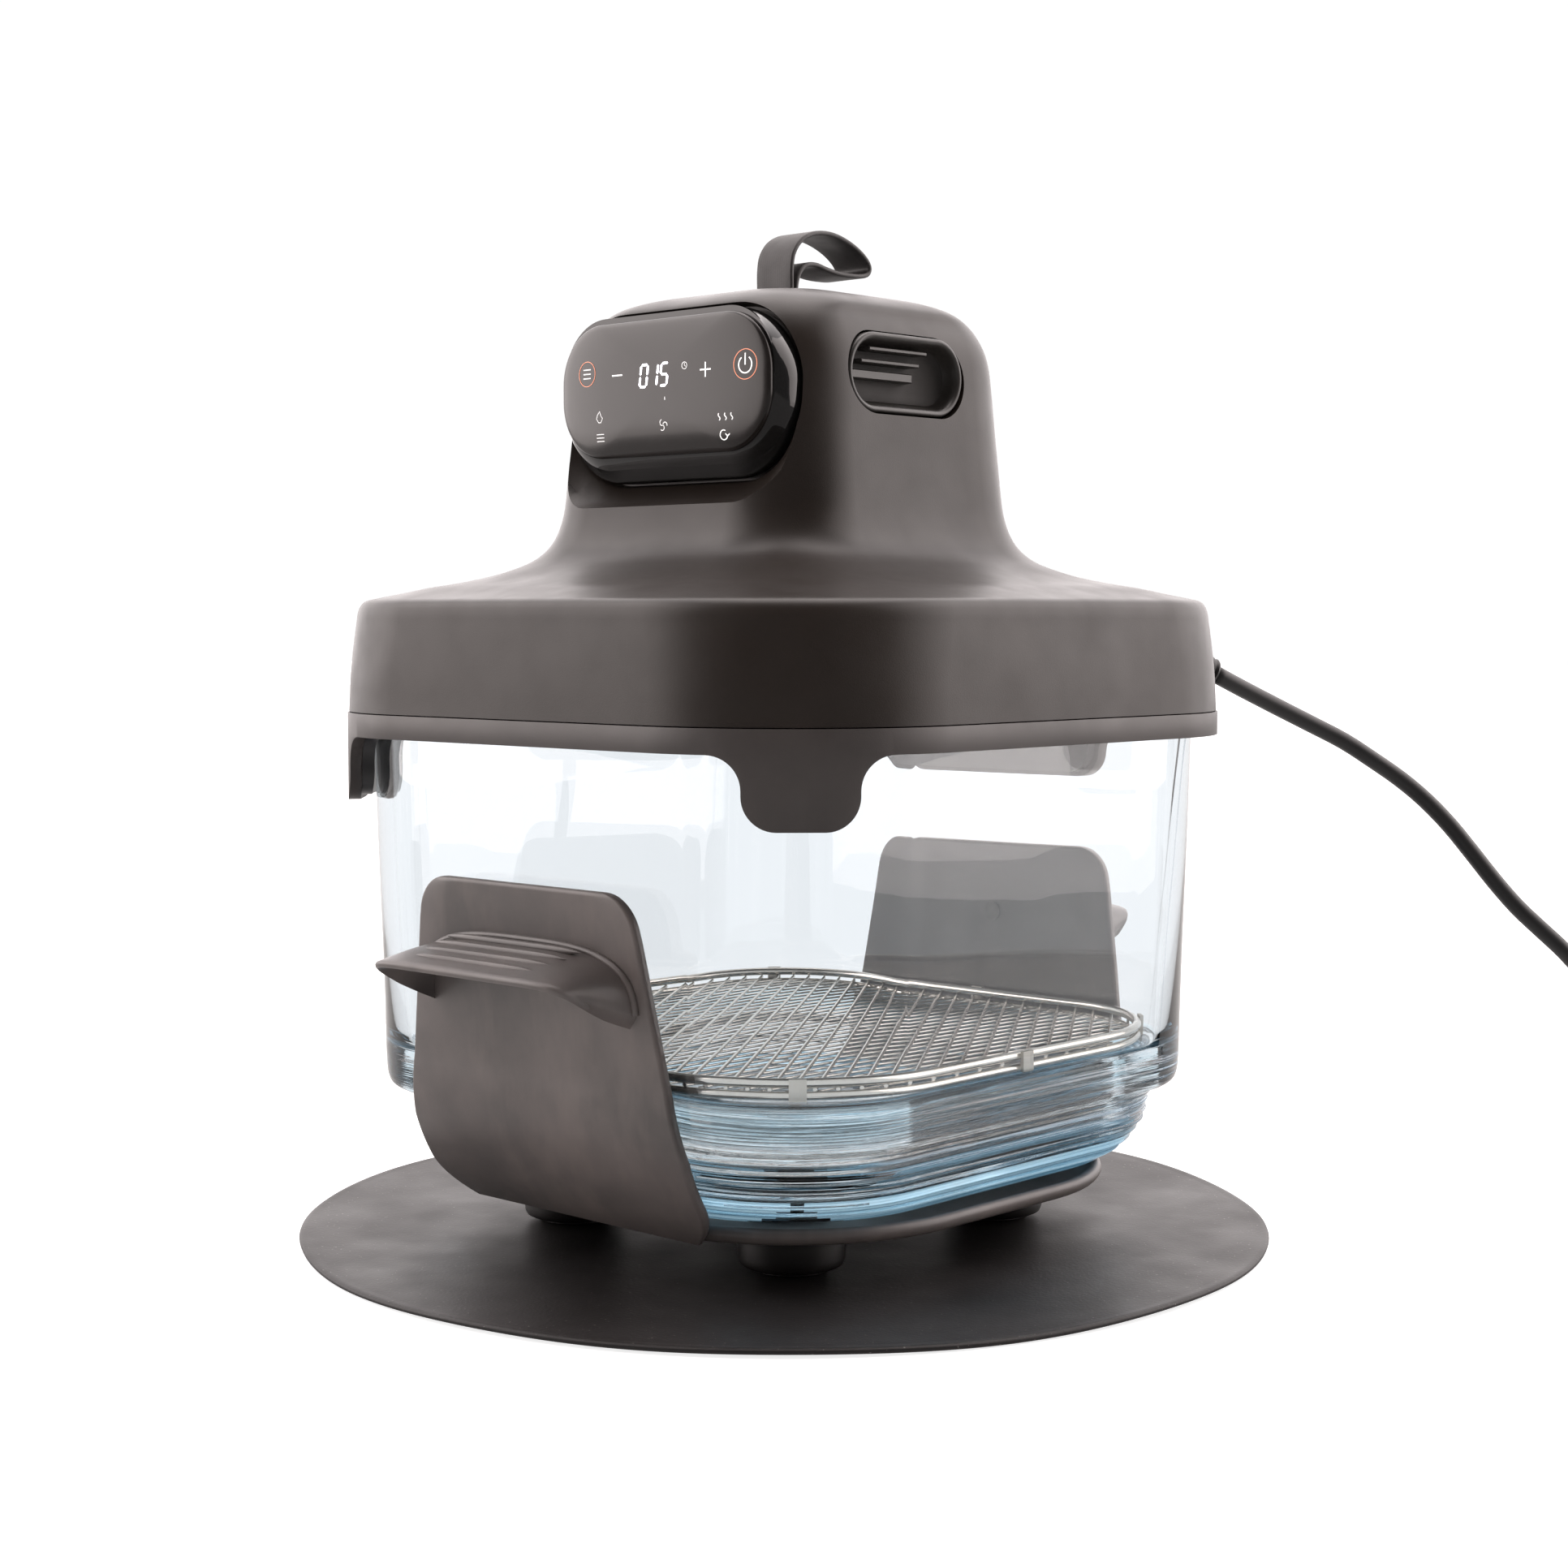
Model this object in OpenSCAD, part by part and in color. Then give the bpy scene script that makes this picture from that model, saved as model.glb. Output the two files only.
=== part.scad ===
// Glass bowl air fryer: a lift-off power head on a square glass bowl, held in a handled cradle.
// Millimetres, +Z up, front (control panel) towards -Y, origin at the middle of the mat's underside.

/* [Mat and feet] */
// Radius of the round heat mat
mat_r = 162; // [150:1:175]
// Thickness of the heat mat
mat_t = 2; // [1.5:0.5:3]
// Radius of each foot
foot_r = 17; // [15:0.5:19]
// Distance of each foot from the centre along X and Y
foot_at = 50; // [44:1:54]

/* [Cradle] */
// Half side of the tray under the bowl
tray_half = 96; // [94:1:98]
// Corner radius of the tray
tray_corner = 66; // [60:1:70]
// Thickness of the tray and handle plates
plate_t = 3.5; // [3:0.1:3.6]
// Height of the top edge of the handle plates
plate_top = 124; // [116:1:130]
// Half width of a handle plate near its top edge
plate_half_w = 49.5; // [46:0.5:52]
// Half length of a grip along X
grip_half_l = 44; // [38:1:45]
// How far a grip stands out from its plate
grip_reach = 27; // [22:1:28]

/* [Bowl] */
// Height of the bowl's rim
bowl_top = 168; // [164:0.5:168]
// Height of the ledge that carries the rack
ledge_z = 63; // [60:0.5:64]

/* [Rack] */
// Half side of the rack's rim
rack_half = 99; // [97:0.5:99.5]
// Corner radius of the rack's rim
rack_corner = 55; // [50:1:56]
// Distance between the thick cross wires
thick_step = 6.3; // [5:0.1:9]
// Distance between the fine cross wires
fine_step = 5.4; // [4:0.1:8]

/* [Head] */
// Half side of the head at its seam
head_half = 120; // [119:0.5:121]
// Wall thickness of the head
head_t = 2.5; // [2:0.5:3]
// Radius of the hot air fan
fan_r = 54; // [48:1:58]
// Radius of the motor
motor_r = 27; // [24:1:29]
// Width of the lifting loop
loop_w = 16; // [14:0.5:18]

/* [Cord] */
// Diameter of the mains lead
cord_d = 6.2; // [5.8:0.1:6.2]

/* [Hidden] */
$fn = 64;
CORNER_STEPS = 12;      // points on each quarter of a lofted outline

foot_bottom = mat_t + 1.5;
tray_under = 17;
tray_floor = 20.2;
pad_top = 23;
strap_bend = 66.9;      // radius of the bend from the tray up into a handle plate
strap_c = [45.4, 65];   // centre of that bend, as [distance from the middle, height]
tray_trim = 1.8;        // how much shorter the tray is along Y, where it meets the handle plates
strap_lean = 5.2;       // how far a handle plate leans out between the bend and its top
strap_corner = 14;      // radius of a handle plate's top corners
grip_root_y = 114.6;    // where a grip meets its plate
grip_t = 3;

ring_z = 166;
seam_z = 173.9;
shield_z = 171;
chamber_r = 92;
chamber_top = 200;
shaft_r = 3;
fit = 0.05;             // running clearance on the shaft

// Rows of [half side, corner radius, height]
bowl_outside = [[80, 50, 23], [86.5, 50, 23.8], [92, 50, 26], [96, 49, 29.5], [98.4, 49, 33.5], [100.3, 48, 38],
    [101, 48, 43], [102, 47, 47], [105.8, 45, 50], [106.9, 44.5, 53], [107.2, 44, 58], [108.5, 46, 100],
    [110.5, 48, bowl_top - 1.5], [109.6, 47.2, bowl_top]];
bowl_inside = [[106.2, 43.8, bowl_top], [105.4, 43, bowl_top - 1.5], [103.4, 43, 72], [102.8, 43, ledge_z + 2],
    [101.8, 43, ledge_z], [96, 48, ledge_z], [95, 48, ledge_z - 2], [94.5, 47, 50], [92.5, 46, 42], [88, 44, 36],
    [80, 42, 33.5], [70, 38, 33]];
head_band = [[head_half, 61, seam_z], [head_half - 0.3, 61.2, 184], [head_half - 1, 62.5, 198],
    [head_half - 1.5, 63.6, 206], [head_half - 2.2, 63.6, 208.4], [head_half - 4, 62, 210]];
// Rows of [half diagonal, height] for the bell and the tower above the band
bell = [[134, 211], [127, 212.4], [118, 214.3], [108, 215.9], [98, 218], [90, 220.4], [84, 222.9], [79.6, 226],
    [76.4, 230], [74.2, 235], [72.8, 241], [71.6, 252], [70.4, 264], [69.2, 277], [68.2, 286], [66.8, 291.5],
    [64.6, 296], [62, 299.6], [58.4, 302.8], [53.6, 305.3], [47, 307.2], [38, 308.8], [26, 310], [12, 310.8]];
// Recess for the control pod: rows of [half width, half height, corner radius, middle height, distance from middle]
recess = [[50.5, 27, 25, 274.5, 44], [52, 28, 25, 274.4, 48.5], [54.5, 30.5, 23, 272.8, 53],
    [58, 34.5, 21.5, 270.3, 72]];
pod_outline = [[49.6, 26, 24, 274.3, 44], [50, 26.4, 24, 274.3, 47], [49.6, 26, 23, 274.8, 50.5],
    [48.4, 24, 21, 276.6, 53.6], [47.2, 22.6, 19.5, 278.2, 55]];
lens_outline = [[46.9, 21.6, 18.8, 277.5, 55.1], [46.1, 21, 18.4, 277.5, 56.2], [43.4, 19.6, 17.4, 277.5, 57.4],
    [37.9, 17.2, 15.3, 277.5, 58.7], [29.9, 14.3, 12.9, 277.5, 59.7], [17.9, 9.6, 8.6, 277.5, 60.3]];

cord_r = cord_d / 2;
gland_foot = [66, 116.8, 195.7];
gland_yaw = 25;
gland_drop = 22;
gland_l = 28;
coil_mid = [235, 229];
coil_r = 36;
coil_turns = 2.35;
coil_start = 117;       // direction of the coil's first point from its middle, in degrees
// Stretch of the lead from the gland to the coil
cord_route = [[77, 140, 185], [82, 152, 179], [88, 165, 172.5], [95, 177, 166], [102, 187, 160], [109, 195, 153.3],
    [116, 203, 146.1], [123, 209, 138.4], [130, 214, 129.5], [137, 218, 119.6], [144, 222, 109.4],
    [151, 226, 100.2], [158, 230, 92.6], [166, 234, 84.3], [174, 239, 73.6], [182, 243.5, 61.9], [190, 248, 49.6],
    [198, 252, 38.7], [205.5, 255.5, 30.4], [212, 258.5, 25.2]];

body_c = "#47413c";
soft_c = "#3b3531";
black_c = "#15151a";
steel_c = "#b9babd";
glass_c = "#cfe3ec80";

// ---------- shared shapes ----------

// Outline of a rounded rectangle, counter-clockwise
function rounded(w, h, r, steps = CORNER_STEPS) = [
    for (q = [0:3]) let (sx = (q == 0 || q == 3) ? 1 : -1, sy = q < 2 ? 1 : -1)
    for (k = [0:steps - 1]) let (a = 90 * q + 90 * k / (steps - 1))
    [sx * (w - r) + r * cos(a), sy * (h - r) + r * sin(a)]];

function level(row) = [for (p = rounded(row[0], row[0], row[1])) [p[0], p[1], row[2]]];

function upright(row) = [for (p = rounded(row[0], row[1], row[2])) [p[0], -row[4], row[3] + p[1]]];

// Half diagonal d turned into a lofted row: the corners tighten towards the tower
function bell_row(d, z) = let (r = d > 60 ? 28 + (d - 72) * 0.5 : d * 0.45)
    [(d + (sqrt(2) - 1) * r) / sqrt(2), r, z];

// Closed solid through rings of equal length, flat at both ends
module skin(rings) {
    n = len(rings[0]);
    m = len(rings);
    sides = [for (i = [0:m - 2]) for (j = [0:n - 1])
        [i * n + j, (i + 1) * n + j, (i + 1) * n + (j + 1) % n, i * n + (j + 1) % n]];
    polyhedron([for (ring = rings) for (p = ring) p],
        concat([[for (j = [0:n - 1]) j]], sides, [[for (j = [n - 1:-1:0]) (m - 1) * n + j]]), convexity = 8);
}

// Exact rounded square, for parts that fit round the bowl
module square_plate(half, r, h) {
    linear_extrude(h) rounded_2d(half, half, r);
}

module rounded_2d(w, h, r) {
    square([2 * (w - r), 2 * h], center = true);
    square([2 * w, 2 * (h - r)], center = true);
    for (sx = [-1, 1], sy = [-1, 1]) translate([sx * (w - r), sy * (h - r)]) circle(r);
}

module at_corners(d) {
    for (sx = [-1, 1], sy = [-1, 1]) translate([sx * d, sy * d, 0]) children();
}

module torus(major, minor) {
    rotate_extrude($fn = 96) translate([major, 0]) circle(minor, $fn = 24);
}

module rod(from_z, to_z, r) {
    translate([0, 0, from_z]) cylinder(h = to_z - from_z, r = r);
}

// ---------- stand ----------

module heat_mat() {
    color(black_c) cylinder(h = mat_t, r = mat_r, $fn = 128);
}

module feet() {
    color(soft_c) at_corners(foot_at) difference() {
        union() {
            rod(foot_bottom + 1.5, tray_under, foot_r);
            translate([0, 0, foot_bottom]) cylinder(h = 1.5, r1 = foot_r - 1.5, r2 = foot_r);
        }
        rod(foot_bottom - 1, foot_bottom + 1, 12);
        rod(foot_bottom, foot_bottom + 6, 5);
        rod(foot_bottom, tray_under + 1, 2.1);
    }
}

module foot_pads() {
    color(black_c) at_corners(foot_at) difference() {
        rod(mat_t, foot_bottom + 1, 11.8);
        rod(mat_t - 1, foot_bottom + 2, 5);
    }
}

module foot_screws() {
    color(steel_c) at_corners(foot_at) {
        rod(foot_bottom + 3.2, foot_bottom + 6, 4);
        rod(foot_bottom + 6, tray_floor - 0.6, 1.9);
    }
}

module bowl_pads() {
    color(soft_c) at_corners(foot_at) rod(tray_floor, pad_top, 13);
}

// Handle plate: half width at height z, drawn in towards the tray and with rounded top corners
function strap_half_w(z) = let (
    full = z < 45 ? 62 - 0.06 * pow(max(0, 30 - z), 2) : plate_half_w + max(0, 112 - z) * 0.185,
    rise = max(0, z - (plate_top - strap_corner)))
    full - (strap_corner - sqrt(max(0, strap_corner * strap_corner - rise * rise)));

function strap_row(y, z, n) = let (w = strap_half_w(z))
    [[w, y, z], [-w, y, z], [-w, y - plate_t * n[0], z - plate_t * n[1]], [w, y - plate_t * n[0], z - plate_t * n[1]]];

function strap_rows() = concat(
    [for (a = [-46:5:-1]) strap_row(strap_c[0] + strap_bend * cos(a), strap_c[1] + strap_bend * sin(a), [cos(a), sin(a)])],
    [for (k = [0:4]) let (z = strap_c[1] + (plate_top - strap_corner - strap_c[1]) * k / 4) strap_row(lean_y(z), z, [1, 0])],
    [for (a = [10:10:90]) let (z = plate_top - strap_corner + strap_corner * sin(a)) strap_row(lean_y(z), z, [1, 0])]);

function lean_y(z) = strap_c[0] + strap_bend + strap_lean * (z - strap_c[1]) / (plate_top - strap_c[1]);

module tray() {
    skin([for (row = [[tray_half - 13, tray_corner - 11, tray_under], [tray_half - 4, tray_corner - 3, tray_under],
        [tray_half - 1, tray_corner - 1, 18.4], [tray_half, tray_corner, 20.4], [tray_half - 0.4, tray_corner, 22],
        [tray_half - 1.6, tray_corner - 1, 22.7], [tray_half - 3.2, tray_corner - 2, 22.2],
        [tray_half - 6, tray_corner - 4, tray_floor], [tray_half - 14, tray_corner - 11, tray_floor]])
        [for (p = rounded(row[0], row[0] - tray_trim, row[1])) [p[0], p[1], row[2]]]]);
}

module cradle() {
    color(soft_c) difference() {
        union() {
            tray();
            skin(strap_rows());
            rotate(180) skin(strap_rows());
        }
        at_corners(foot_at) rod(tray_under - 1, tray_floor - 0.5, 1.9);
        for (turn = [0, 180]) rotate(turn) translate([0, 100, 98]) rotate([-90, 0, 0]) cylinder(h = 30, r = 2.1);
    }
}

// Signed power, for the squarish arch of a grip
function arch(x, p) = sign(x) * pow(abs(x), p);

// One section of a grip, from its root on the plate to its outer lip, at angle a across the grip
function grip_row(a) = let (s = arch(sin(a), 0.62), c = pow(max(cos(a), 0), 0.62), e = pow(max(cos(a), 0), 0.2),
    x1 = (grip_half_l + 4) * s, z1 = 85 + 22 * c, x2 = grip_half_l * arch(sin(a), 0.25), z2 = 85 + 15 * e,
    y2 = grip_root_y + 1 + grip_reach * e, t = grip_t)
    [[x1, lean_y(z1), z1], [(x1 + x2) / 2, (grip_root_y + y2) / 2, (z1 + z2) / 2 + 0.8 * c], [x2, y2, z2],
     [x2 * (1 - t / 90), y2 - t * 0.4 * e, z2 - t * 0.8], [(x1 + x2) / 2 * (1 - t / 45), (grip_root_y + y2) / 2,
     (z1 + z2) / 2 - t], [x1 * (1 - t / 45), lean_y(z1 - t - 0.6), z1 - t - 0.6]];

module grip() {
    color(soft_c) difference() {
        union() {
            skin([for (a = [88:-8:-88]) grip_row(a)]);
            translate([-8, grip_root_y + 1.3, 93]) cube([16, 9, 12]);
            for (k = [0:3]) translate([-28, grip_root_y + 6 + 5 * k, 106.1 - 1.52 * k])
                rotate([0, 90, 0]) cylinder(h = 56, r = 1.1, $fn = 24);
        }
        translate([0, grip_root_y - 1, 98]) rotate([-90, 0, 0]) cylinder(h = 9, r = 1.6);
    }
}

module front_grip() {
    rotate(180) grip();
}

module rear_grip() {
    grip();
}

// One screw through each handle plate into its grip, with its head on the bowl side
module grip_screws() {
    color(steel_c) for (turn = [0, 180]) rotate(turn) translate([0, 110.9, 98]) rotate([-90, 0, 0]) {
        cylinder(h = 0.45, r = 3.4);
        cylinder(h = 10, r = 1.55);
    }
}

// ---------- bowl and rack ----------

module glass_bowl() {
    color(glass_c) skin([for (row = concat(bowl_outside, bowl_inside)) level(row)]);
}

rack_wire = 1.5;
thick_r = 0.6;
fine_r = 0.42;
thick_turn = 35;        // directions of the two sets of cross wires, in degrees from Y
fine_turn = -5;
lower_ring_z = ledge_z + 0.3 + rack_wire;
thick_z = lower_ring_z + rack_wire + thick_r;
upper_ring_z = thick_z + thick_r + rack_wire;
fine_z = thick_z - thick_r - fine_r;

// Round wire bent to a rounded square
module wire_ring(half, r, wire) {
    flat = half - r;
    for (turn = [0:90:270]) rotate(turn) {
        translate([half, -flat, 0]) rotate([-90, 0, 0]) cylinder(h = 2 * flat, r = wire, $fn = 24);
        translate([flat, flat, 0]) rotate_extrude(angle = 90, $fn = 96) translate([r, 0]) circle(wire, $fn = 24);
    }
}

// Parallel wires at an angle from Y, ending short of the rim's middle line by a margin
module cross_wires(turn, step, wire, z, margin) {
    count = ceil(1.2 * rack_half / step);
    intersection() {
        for (k = [-count:count]) rotate(turn) translate([k * step, -1.4 * rack_half, z]) rotate([-90, 0, 0])
            cylinder(h = 2.8 * rack_half, r = wire, $fn = 16);
        translate([0, 0, z - 1]) square_plate(rack_half - margin, rack_corner - margin, 2);
    }
}

module rack_lower_ring() {
    color(steel_c) translate([0, 0, lower_ring_z]) wire_ring(rack_half, rack_corner, rack_wire);
}

module rack_upper_ring() {
    color(steel_c) translate([0, 0, upper_ring_z]) wire_ring(rack_half, rack_corner, rack_wire);
}

module rack_clips() {
    clip_h = upper_ring_z - lower_ring_z + 2 * rack_wire;
    clip_t = 1.2;
    corner = rack_half - rack_corner + (rack_corner + rack_wire) / sqrt(2);
    color(steel_c) for (turn = [0:90:270]) rotate(turn) {
        translate([rack_half + rack_wire, -2.5, lower_ring_z - rack_wire]) cube([clip_t, 5, clip_h]);
        translate([corner, corner, lower_ring_z - rack_wire]) rotate(45) translate([0, -2.5, 0]) cube([clip_t, 5, clip_h]);
    }
}

module rack_thick_wires() {
    color(steel_c) cross_wires(thick_turn, thick_step, thick_r, thick_z, 0);
}

module rack_fine_wires() {
    color(steel_c) cross_wires(fine_turn, fine_step, fine_r, fine_z, rack_wire + 0.6);
}

// ---------- head: casings ----------

module head_outside() {
    skin([for (row = concat(head_band, [for (b = bell) bell_row(b[0], b[1])])) level(row)]);
}

module head_cavity() {
    rows = concat([[head_half, 61, seam_z - 1]], head_band, [for (b = bell) bell_row(b[0], b[1])]);
    skin([for (row = rows) if (row[0] > 16) level([row[0] - head_t, max(row[1] - head_t, 2), row[2] - (row[2] > 209 ? head_t : 0)])]);
}

module recess_cut(grow, back) {
    skin([for (row = recess)
        upright([row[0] + grow, row[1] + grow, row[2] + grow, row[3], row[4] - back])]);
}

module stadium(half_l, half_h) {
    square([2 * (half_l - half_h), 2 * half_h], center = true);
    for (s = [-1, 1]) translate([s * (half_l - half_h), 0]) circle(half_h);
}

vent_at = [0, -3, 281.2];
vent_half_l = 28.2;
vent_half_h = 13.1;

// Turns a profile drawn in the Y-Z plane and extrudes it along +X
module along_x(x, h) {
    translate([x, 0, 0]) rotate([90, 0, 90]) linear_extrude(h) children();
}

module gland_frame() {
    translate(gland_foot) rotate([0, 0, -gland_yaw]) rotate([-90 - gland_drop, 0, 0]) children();
}

module screw_boss() {
    difference() {
        union() {
            rod(seam_z, 190, 5);
            rotate(45) translate([4, -1.5, seam_z]) cube([16.5, 3, 14]);
        }
        rod(seam_z - 1, 188, 1.7);
    }
}

module four_bosses() {
    for (turn = [0:90:270]) rotate(turn) translate([86, 86, 0]) screw_boss();
}

module head_shell() {
    color(body_c) difference() {
        union() {
            difference() {
                head_outside();
                difference() {
                    head_cavity();
                    recess_cut(head_t, head_t);
                }
            }
            four_bosses();
            for (x = [-anchor_x, anchor_x]) translate([x, anchor_y, 0]) anchor_post();
        }
        recess_cut(0, 0);
        for (side = [0, 180]) rotate(side) mirror([0, side == 180 ? 1 : 0, 0])
            along_x(46, 20) translate([vent_at[1], vent_at[2]]) stadium(vent_half_l, vent_half_h);
        translate([-loop_w / 2 - 0.3, -5.4, 300]) cube([loop_w + 0.6, 4.2, 16]);
        gland_frame() translate([0, 0, -12]) cylinder(h = 20, r = 7);
        translate([0, -38, 270]) rotate([90, 0, 0]) cylinder(h = 8, r = 5);
    }
}

// Tab outline, drawn from its middle down from the ring: half width at the ring, half width below, drop
module tab_2d(w, drop, r) {
    square([2 * w - 2 * r, 2 * drop], center = true);
    square([2 * w, 2 * (drop - r)], center = true);
    for (s = [-1, 1]) {
        translate([s * (w - r), -drop + r]) circle(r);
        difference() {
            translate([s * (w + r / 2 - 0.5), -r / 2]) square([r + 1, r], center = true);
            translate([s * (w + r), -r]) circle(r);
        }
    }
}

module tab_slot(turn, w, drop, r) {
    rotate(turn) translate([0, 0, ring_z]) rotate([90, 0, 0]) linear_extrude(160) tab_2d(w, drop, r);
}

module band(out_half, out_r, in_half, in_r, z0, z1) {
    translate([0, 0, z0]) difference() {
        square_plate(out_half, out_r, z1 - z0);
        translate([0, 0, -1]) square_plate(in_half, in_r, z1 - z0 + 2);
    }
}

// The three tabs that steady the head on the bowl: two front corners and one at the rear
module tab_set(shrink) {
    tab_slot(45, 17 - shrink, 21.5 - shrink, 10 - shrink / 2);
    tab_slot(-45, 17 - shrink, 21.5 - shrink, 10 - shrink / 2);
    tab_slot(180, 44 - shrink, 17 - shrink, 9 - shrink / 2);
}

liner_gap = 115.5;

module rim_ring() {
    color(soft_c) difference() {
        union() {
            band(head_half + 0.4, 61.2, 112.4, 49.6, ring_z, seam_z);
            band(113, 50, 104, 42, shield_z + 1.4, seam_z);
            intersection() {
                band(head_half + 0.4, 61.2, liner_gap, 54, ring_z - 24, ring_z + 0.5);
                tab_set(0);
            }
        }
        at_corners(86) rod(shield_z, seam_z + 1, 2);
    }
}

module tab_liners() {
    color(black_c) intersection() {
        band(liner_gap, 54, 111.3, 48.6, ring_z - 23, ring_z - 0.2);
        tab_set(1.6);
    }
}

module bowl_gasket() {
    color("#2a2a2c") band(112.2, 49.4, 105, 42.6, bowl_top + 0.2, shield_z);
}

module vent() {
    floor_x = 46;
    difference() {
        along_x(floor_x, 10.3) stadium(vent_half_l - 0.4, vent_half_h - 0.4);
        along_x(floor_x + 2, 12) stadium(vent_half_l - 3, vent_half_h - 3);
        for (k = [0:1]) along_x(floor_x - 1, 4) vent_bar(k, 26, -1.6, 2);
    }
    for (k = [0:1]) along_x(floor_x + 1.5, 6.9) vent_bar(k, 28, 0, 1.2);
    along_x(floor_x + 1.5, 5.5) translate([-8.8, -0.7]) square([30.4, 2.8], center = true);
}

// Outline of louvre bar k, or of the air slot under it
module vent_bar(k, l, rise, h) {
    translate([-2.2 - 3.8 * k, 7.4 - 4 * k + rise]) square([l, h], center = true);
}

module right_vent() {
    color(body_c) translate([0, vent_at[1], vent_at[2]]) vent();
}

module left_vent() {
    color(body_c) mirror([1, 0, 0]) translate([0, vent_at[1], vent_at[2]]) vent();
}

// ---------- head: controls ----------

module control_pod() {
    color(black_c) difference() {
        skin([for (row = pod_outline) upright(row)]);
        translate([-40, -54, 264]) cube([80, 8, 28]);
        translate([-36, -56, 268]) cube([72, 4, 20]);
        translate([0, -43, 274]) rotate([90, 0, 0]) cylinder(h = 5, r = 4);
    }
}

module panel_lens() {
    color("#0b0b0e") skin([for (row = lens_outline) upright(row)]);
}

module display_board() {
    color("darkgreen") translate([-38, -48, 266]) cube([76, 1.6, 24]);
}

module display_module() {
    color("white") translate([-14, -53, 272]) cube([28, 5, 14]);
}

module control_board() {
    color("darkgreen") translate([-38, -38, 255]) cube([76, 1.6, 34]);
    color("white") for (x = [-26, 0, 26]) translate([x - 5, -36.4, 260]) cube([10, 6, 8]);
}

module power_board() {
    color("darkgreen") translate([-30, 44, 232]) cube([60, 1.6, 48]);
    color("orange") translate([-24, 30, 240]) cube([20, 14, 16]);
    color("navy") translate([12, 44, 262]) rotate([90, 0, 0]) cylinder(h = 14, r = 7);
    color("black") translate([2, 32, 238]) cube([20, 12, 10]);
}

module lift_loop() {
    // Middle line of the strap as [distance from the middle, height]
    line = [[-4.2, 298], [-4.2, 306], [-4.2, 313], [-4.2, 319], [-3.2, 324], [0, 328.2], [5, 330.9], [11, 332],
        [17, 331.8], [23, 330.4], [28.5, 328.2], [32.8, 325.4], [34.6, 322.8], [33.6, 320.6], [30, 319.6],
        [25, 319.3], [19, 319.4], [13, 320.2], [7.5, 321.2], [2.8, 320.6], [0, 318.4], [-1.6, 315.2], [-2.2, 311],
        [-2.3, 305], [-2.3, 298]];
    strap_t = 1.5;
    last = len(line) - 1;
    rings = [for (i = [0:last]) let (t = line[min(i + 1, last)] - line[max(i - 1, 0)], n = [-t[1], t[0]] / norm(t))
        [for (s = [[-1, -1], [1, -1], [1, 1], [-1, 1]])
        [s[0] * loop_w / 2, line[i][0] + n[0] * s[1] * strap_t / 2, line[i][1] + n[1] * s[1] * strap_t / 2]]];
    color(black_c) skin(rings);
}

anchor_x = 11.5;
anchor_y = -3.3;

module loop_anchor() {
    color(steel_c) difference() {
        translate([-15, anchor_y - 5, 294]) cube([30, 10, 4]);
        for (x = [-anchor_x, anchor_x]) translate([x, anchor_y, 0]) rod(290, 300, 1.3);
    }
}

module anchor_screws() {
    color(steel_c) for (x = [-anchor_x, anchor_x]) translate([x, anchor_y, 0]) {
        rod(291.6, 294, 2.6);
        rod(294, 304, 1.15);
    }
}

module anchor_post() {
    difference() {
        rod(298, 309, 3);
        rod(297, 305, 1.2);
    }
}

// ---------- head: heater, fan and motor ----------

module heat_shield() {
    color(steel_c) {
        difference() {
            translate([0, 0, shield_z]) square_plate(112, 49.2, 1.3);
            rod(shield_z - 1, shield_z + 3, chamber_r - 1.2);
            at_corners(86) rod(shield_z - 1, shield_z + 3, 2);
        }
        difference() {
            rod(shield_z, chamber_top, chamber_r);
            rod(shield_z - 1, chamber_top - 1.2, chamber_r - 1.2);
            rod(shield_z, chamber_top + 1, 5);
            for (x = [66, 78]) translate([-x, 0, 0]) rod(shield_z, chamber_top + 1, 4);
            translate([0, 84, 0]) rod(shield_z, chamber_top + 1, 2.4);
        }
    }
}

module element_guard() {
    wire = 1.2;
    color(steel_c) translate([0, 0, shield_z + 3]) {
        for (r = [18:18:72]) torus(r, wire);
        torus(chamber_r - 2.4, wire);
        for (a = [15:60:315]) rotate(a) translate([8, -1, -1.8]) cube([chamber_r - 10.6, 2, 1.2]);
        translate([0, 0, -1.8]) cylinder(h = 1.2, r = 10);
    }
}

module heating_element() {
    tube = 3.2;
    color("#55504c") translate([0, 0, 179]) {
        for (r = [66, 78]) torus(r, tube);
        rotate([0, 90, 90]) translate([0, 0, 66]) cylinder(h = 12, r = tube);
        for (x = [66, 78]) translate([-x, 0, 0]) cylinder(h = 31, r = tube);
    }
}

module fan_blades(count, r_in, r_out, h, tilt) {
    for (k = [0:count - 1]) rotate(k * 360 / count) translate([r_in, 0, 0]) rotate([tilt, 0, 0])
        translate([0, -0.6, 0]) cube([r_out - r_in, 1.2, h]);
}

module hot_air_fan() {
    color(steel_c) translate([0, 0, 186]) {
        difference() {
            union() {
                cylinder(h = 8, r = 9);
                translate([0, 0, 7]) cylinder(h = 1.2, r = fan_r - 2);
                fan_blades(8, 8, fan_r, 8, 0);
            }
            translate([0, 0, -1]) cylinder(h = 11, r = shaft_r);
        }
    }
}

module cooling_fan() {
    color("#e8e6df") translate([0, 0, 203]) difference() {
        union() {
            cylinder(h = 8, r = 8);
            translate([0, 0, 7]) cylinder(h = 1, r = 29);
            fan_blades(9, 7, 30, 8, 0);
        }
        translate([0, 0, -1]) cylinder(h = 10, r = shaft_r);
    }
}

module motor_shaft() {
    color("silver") rod(179, 249, shaft_r);
}

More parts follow.
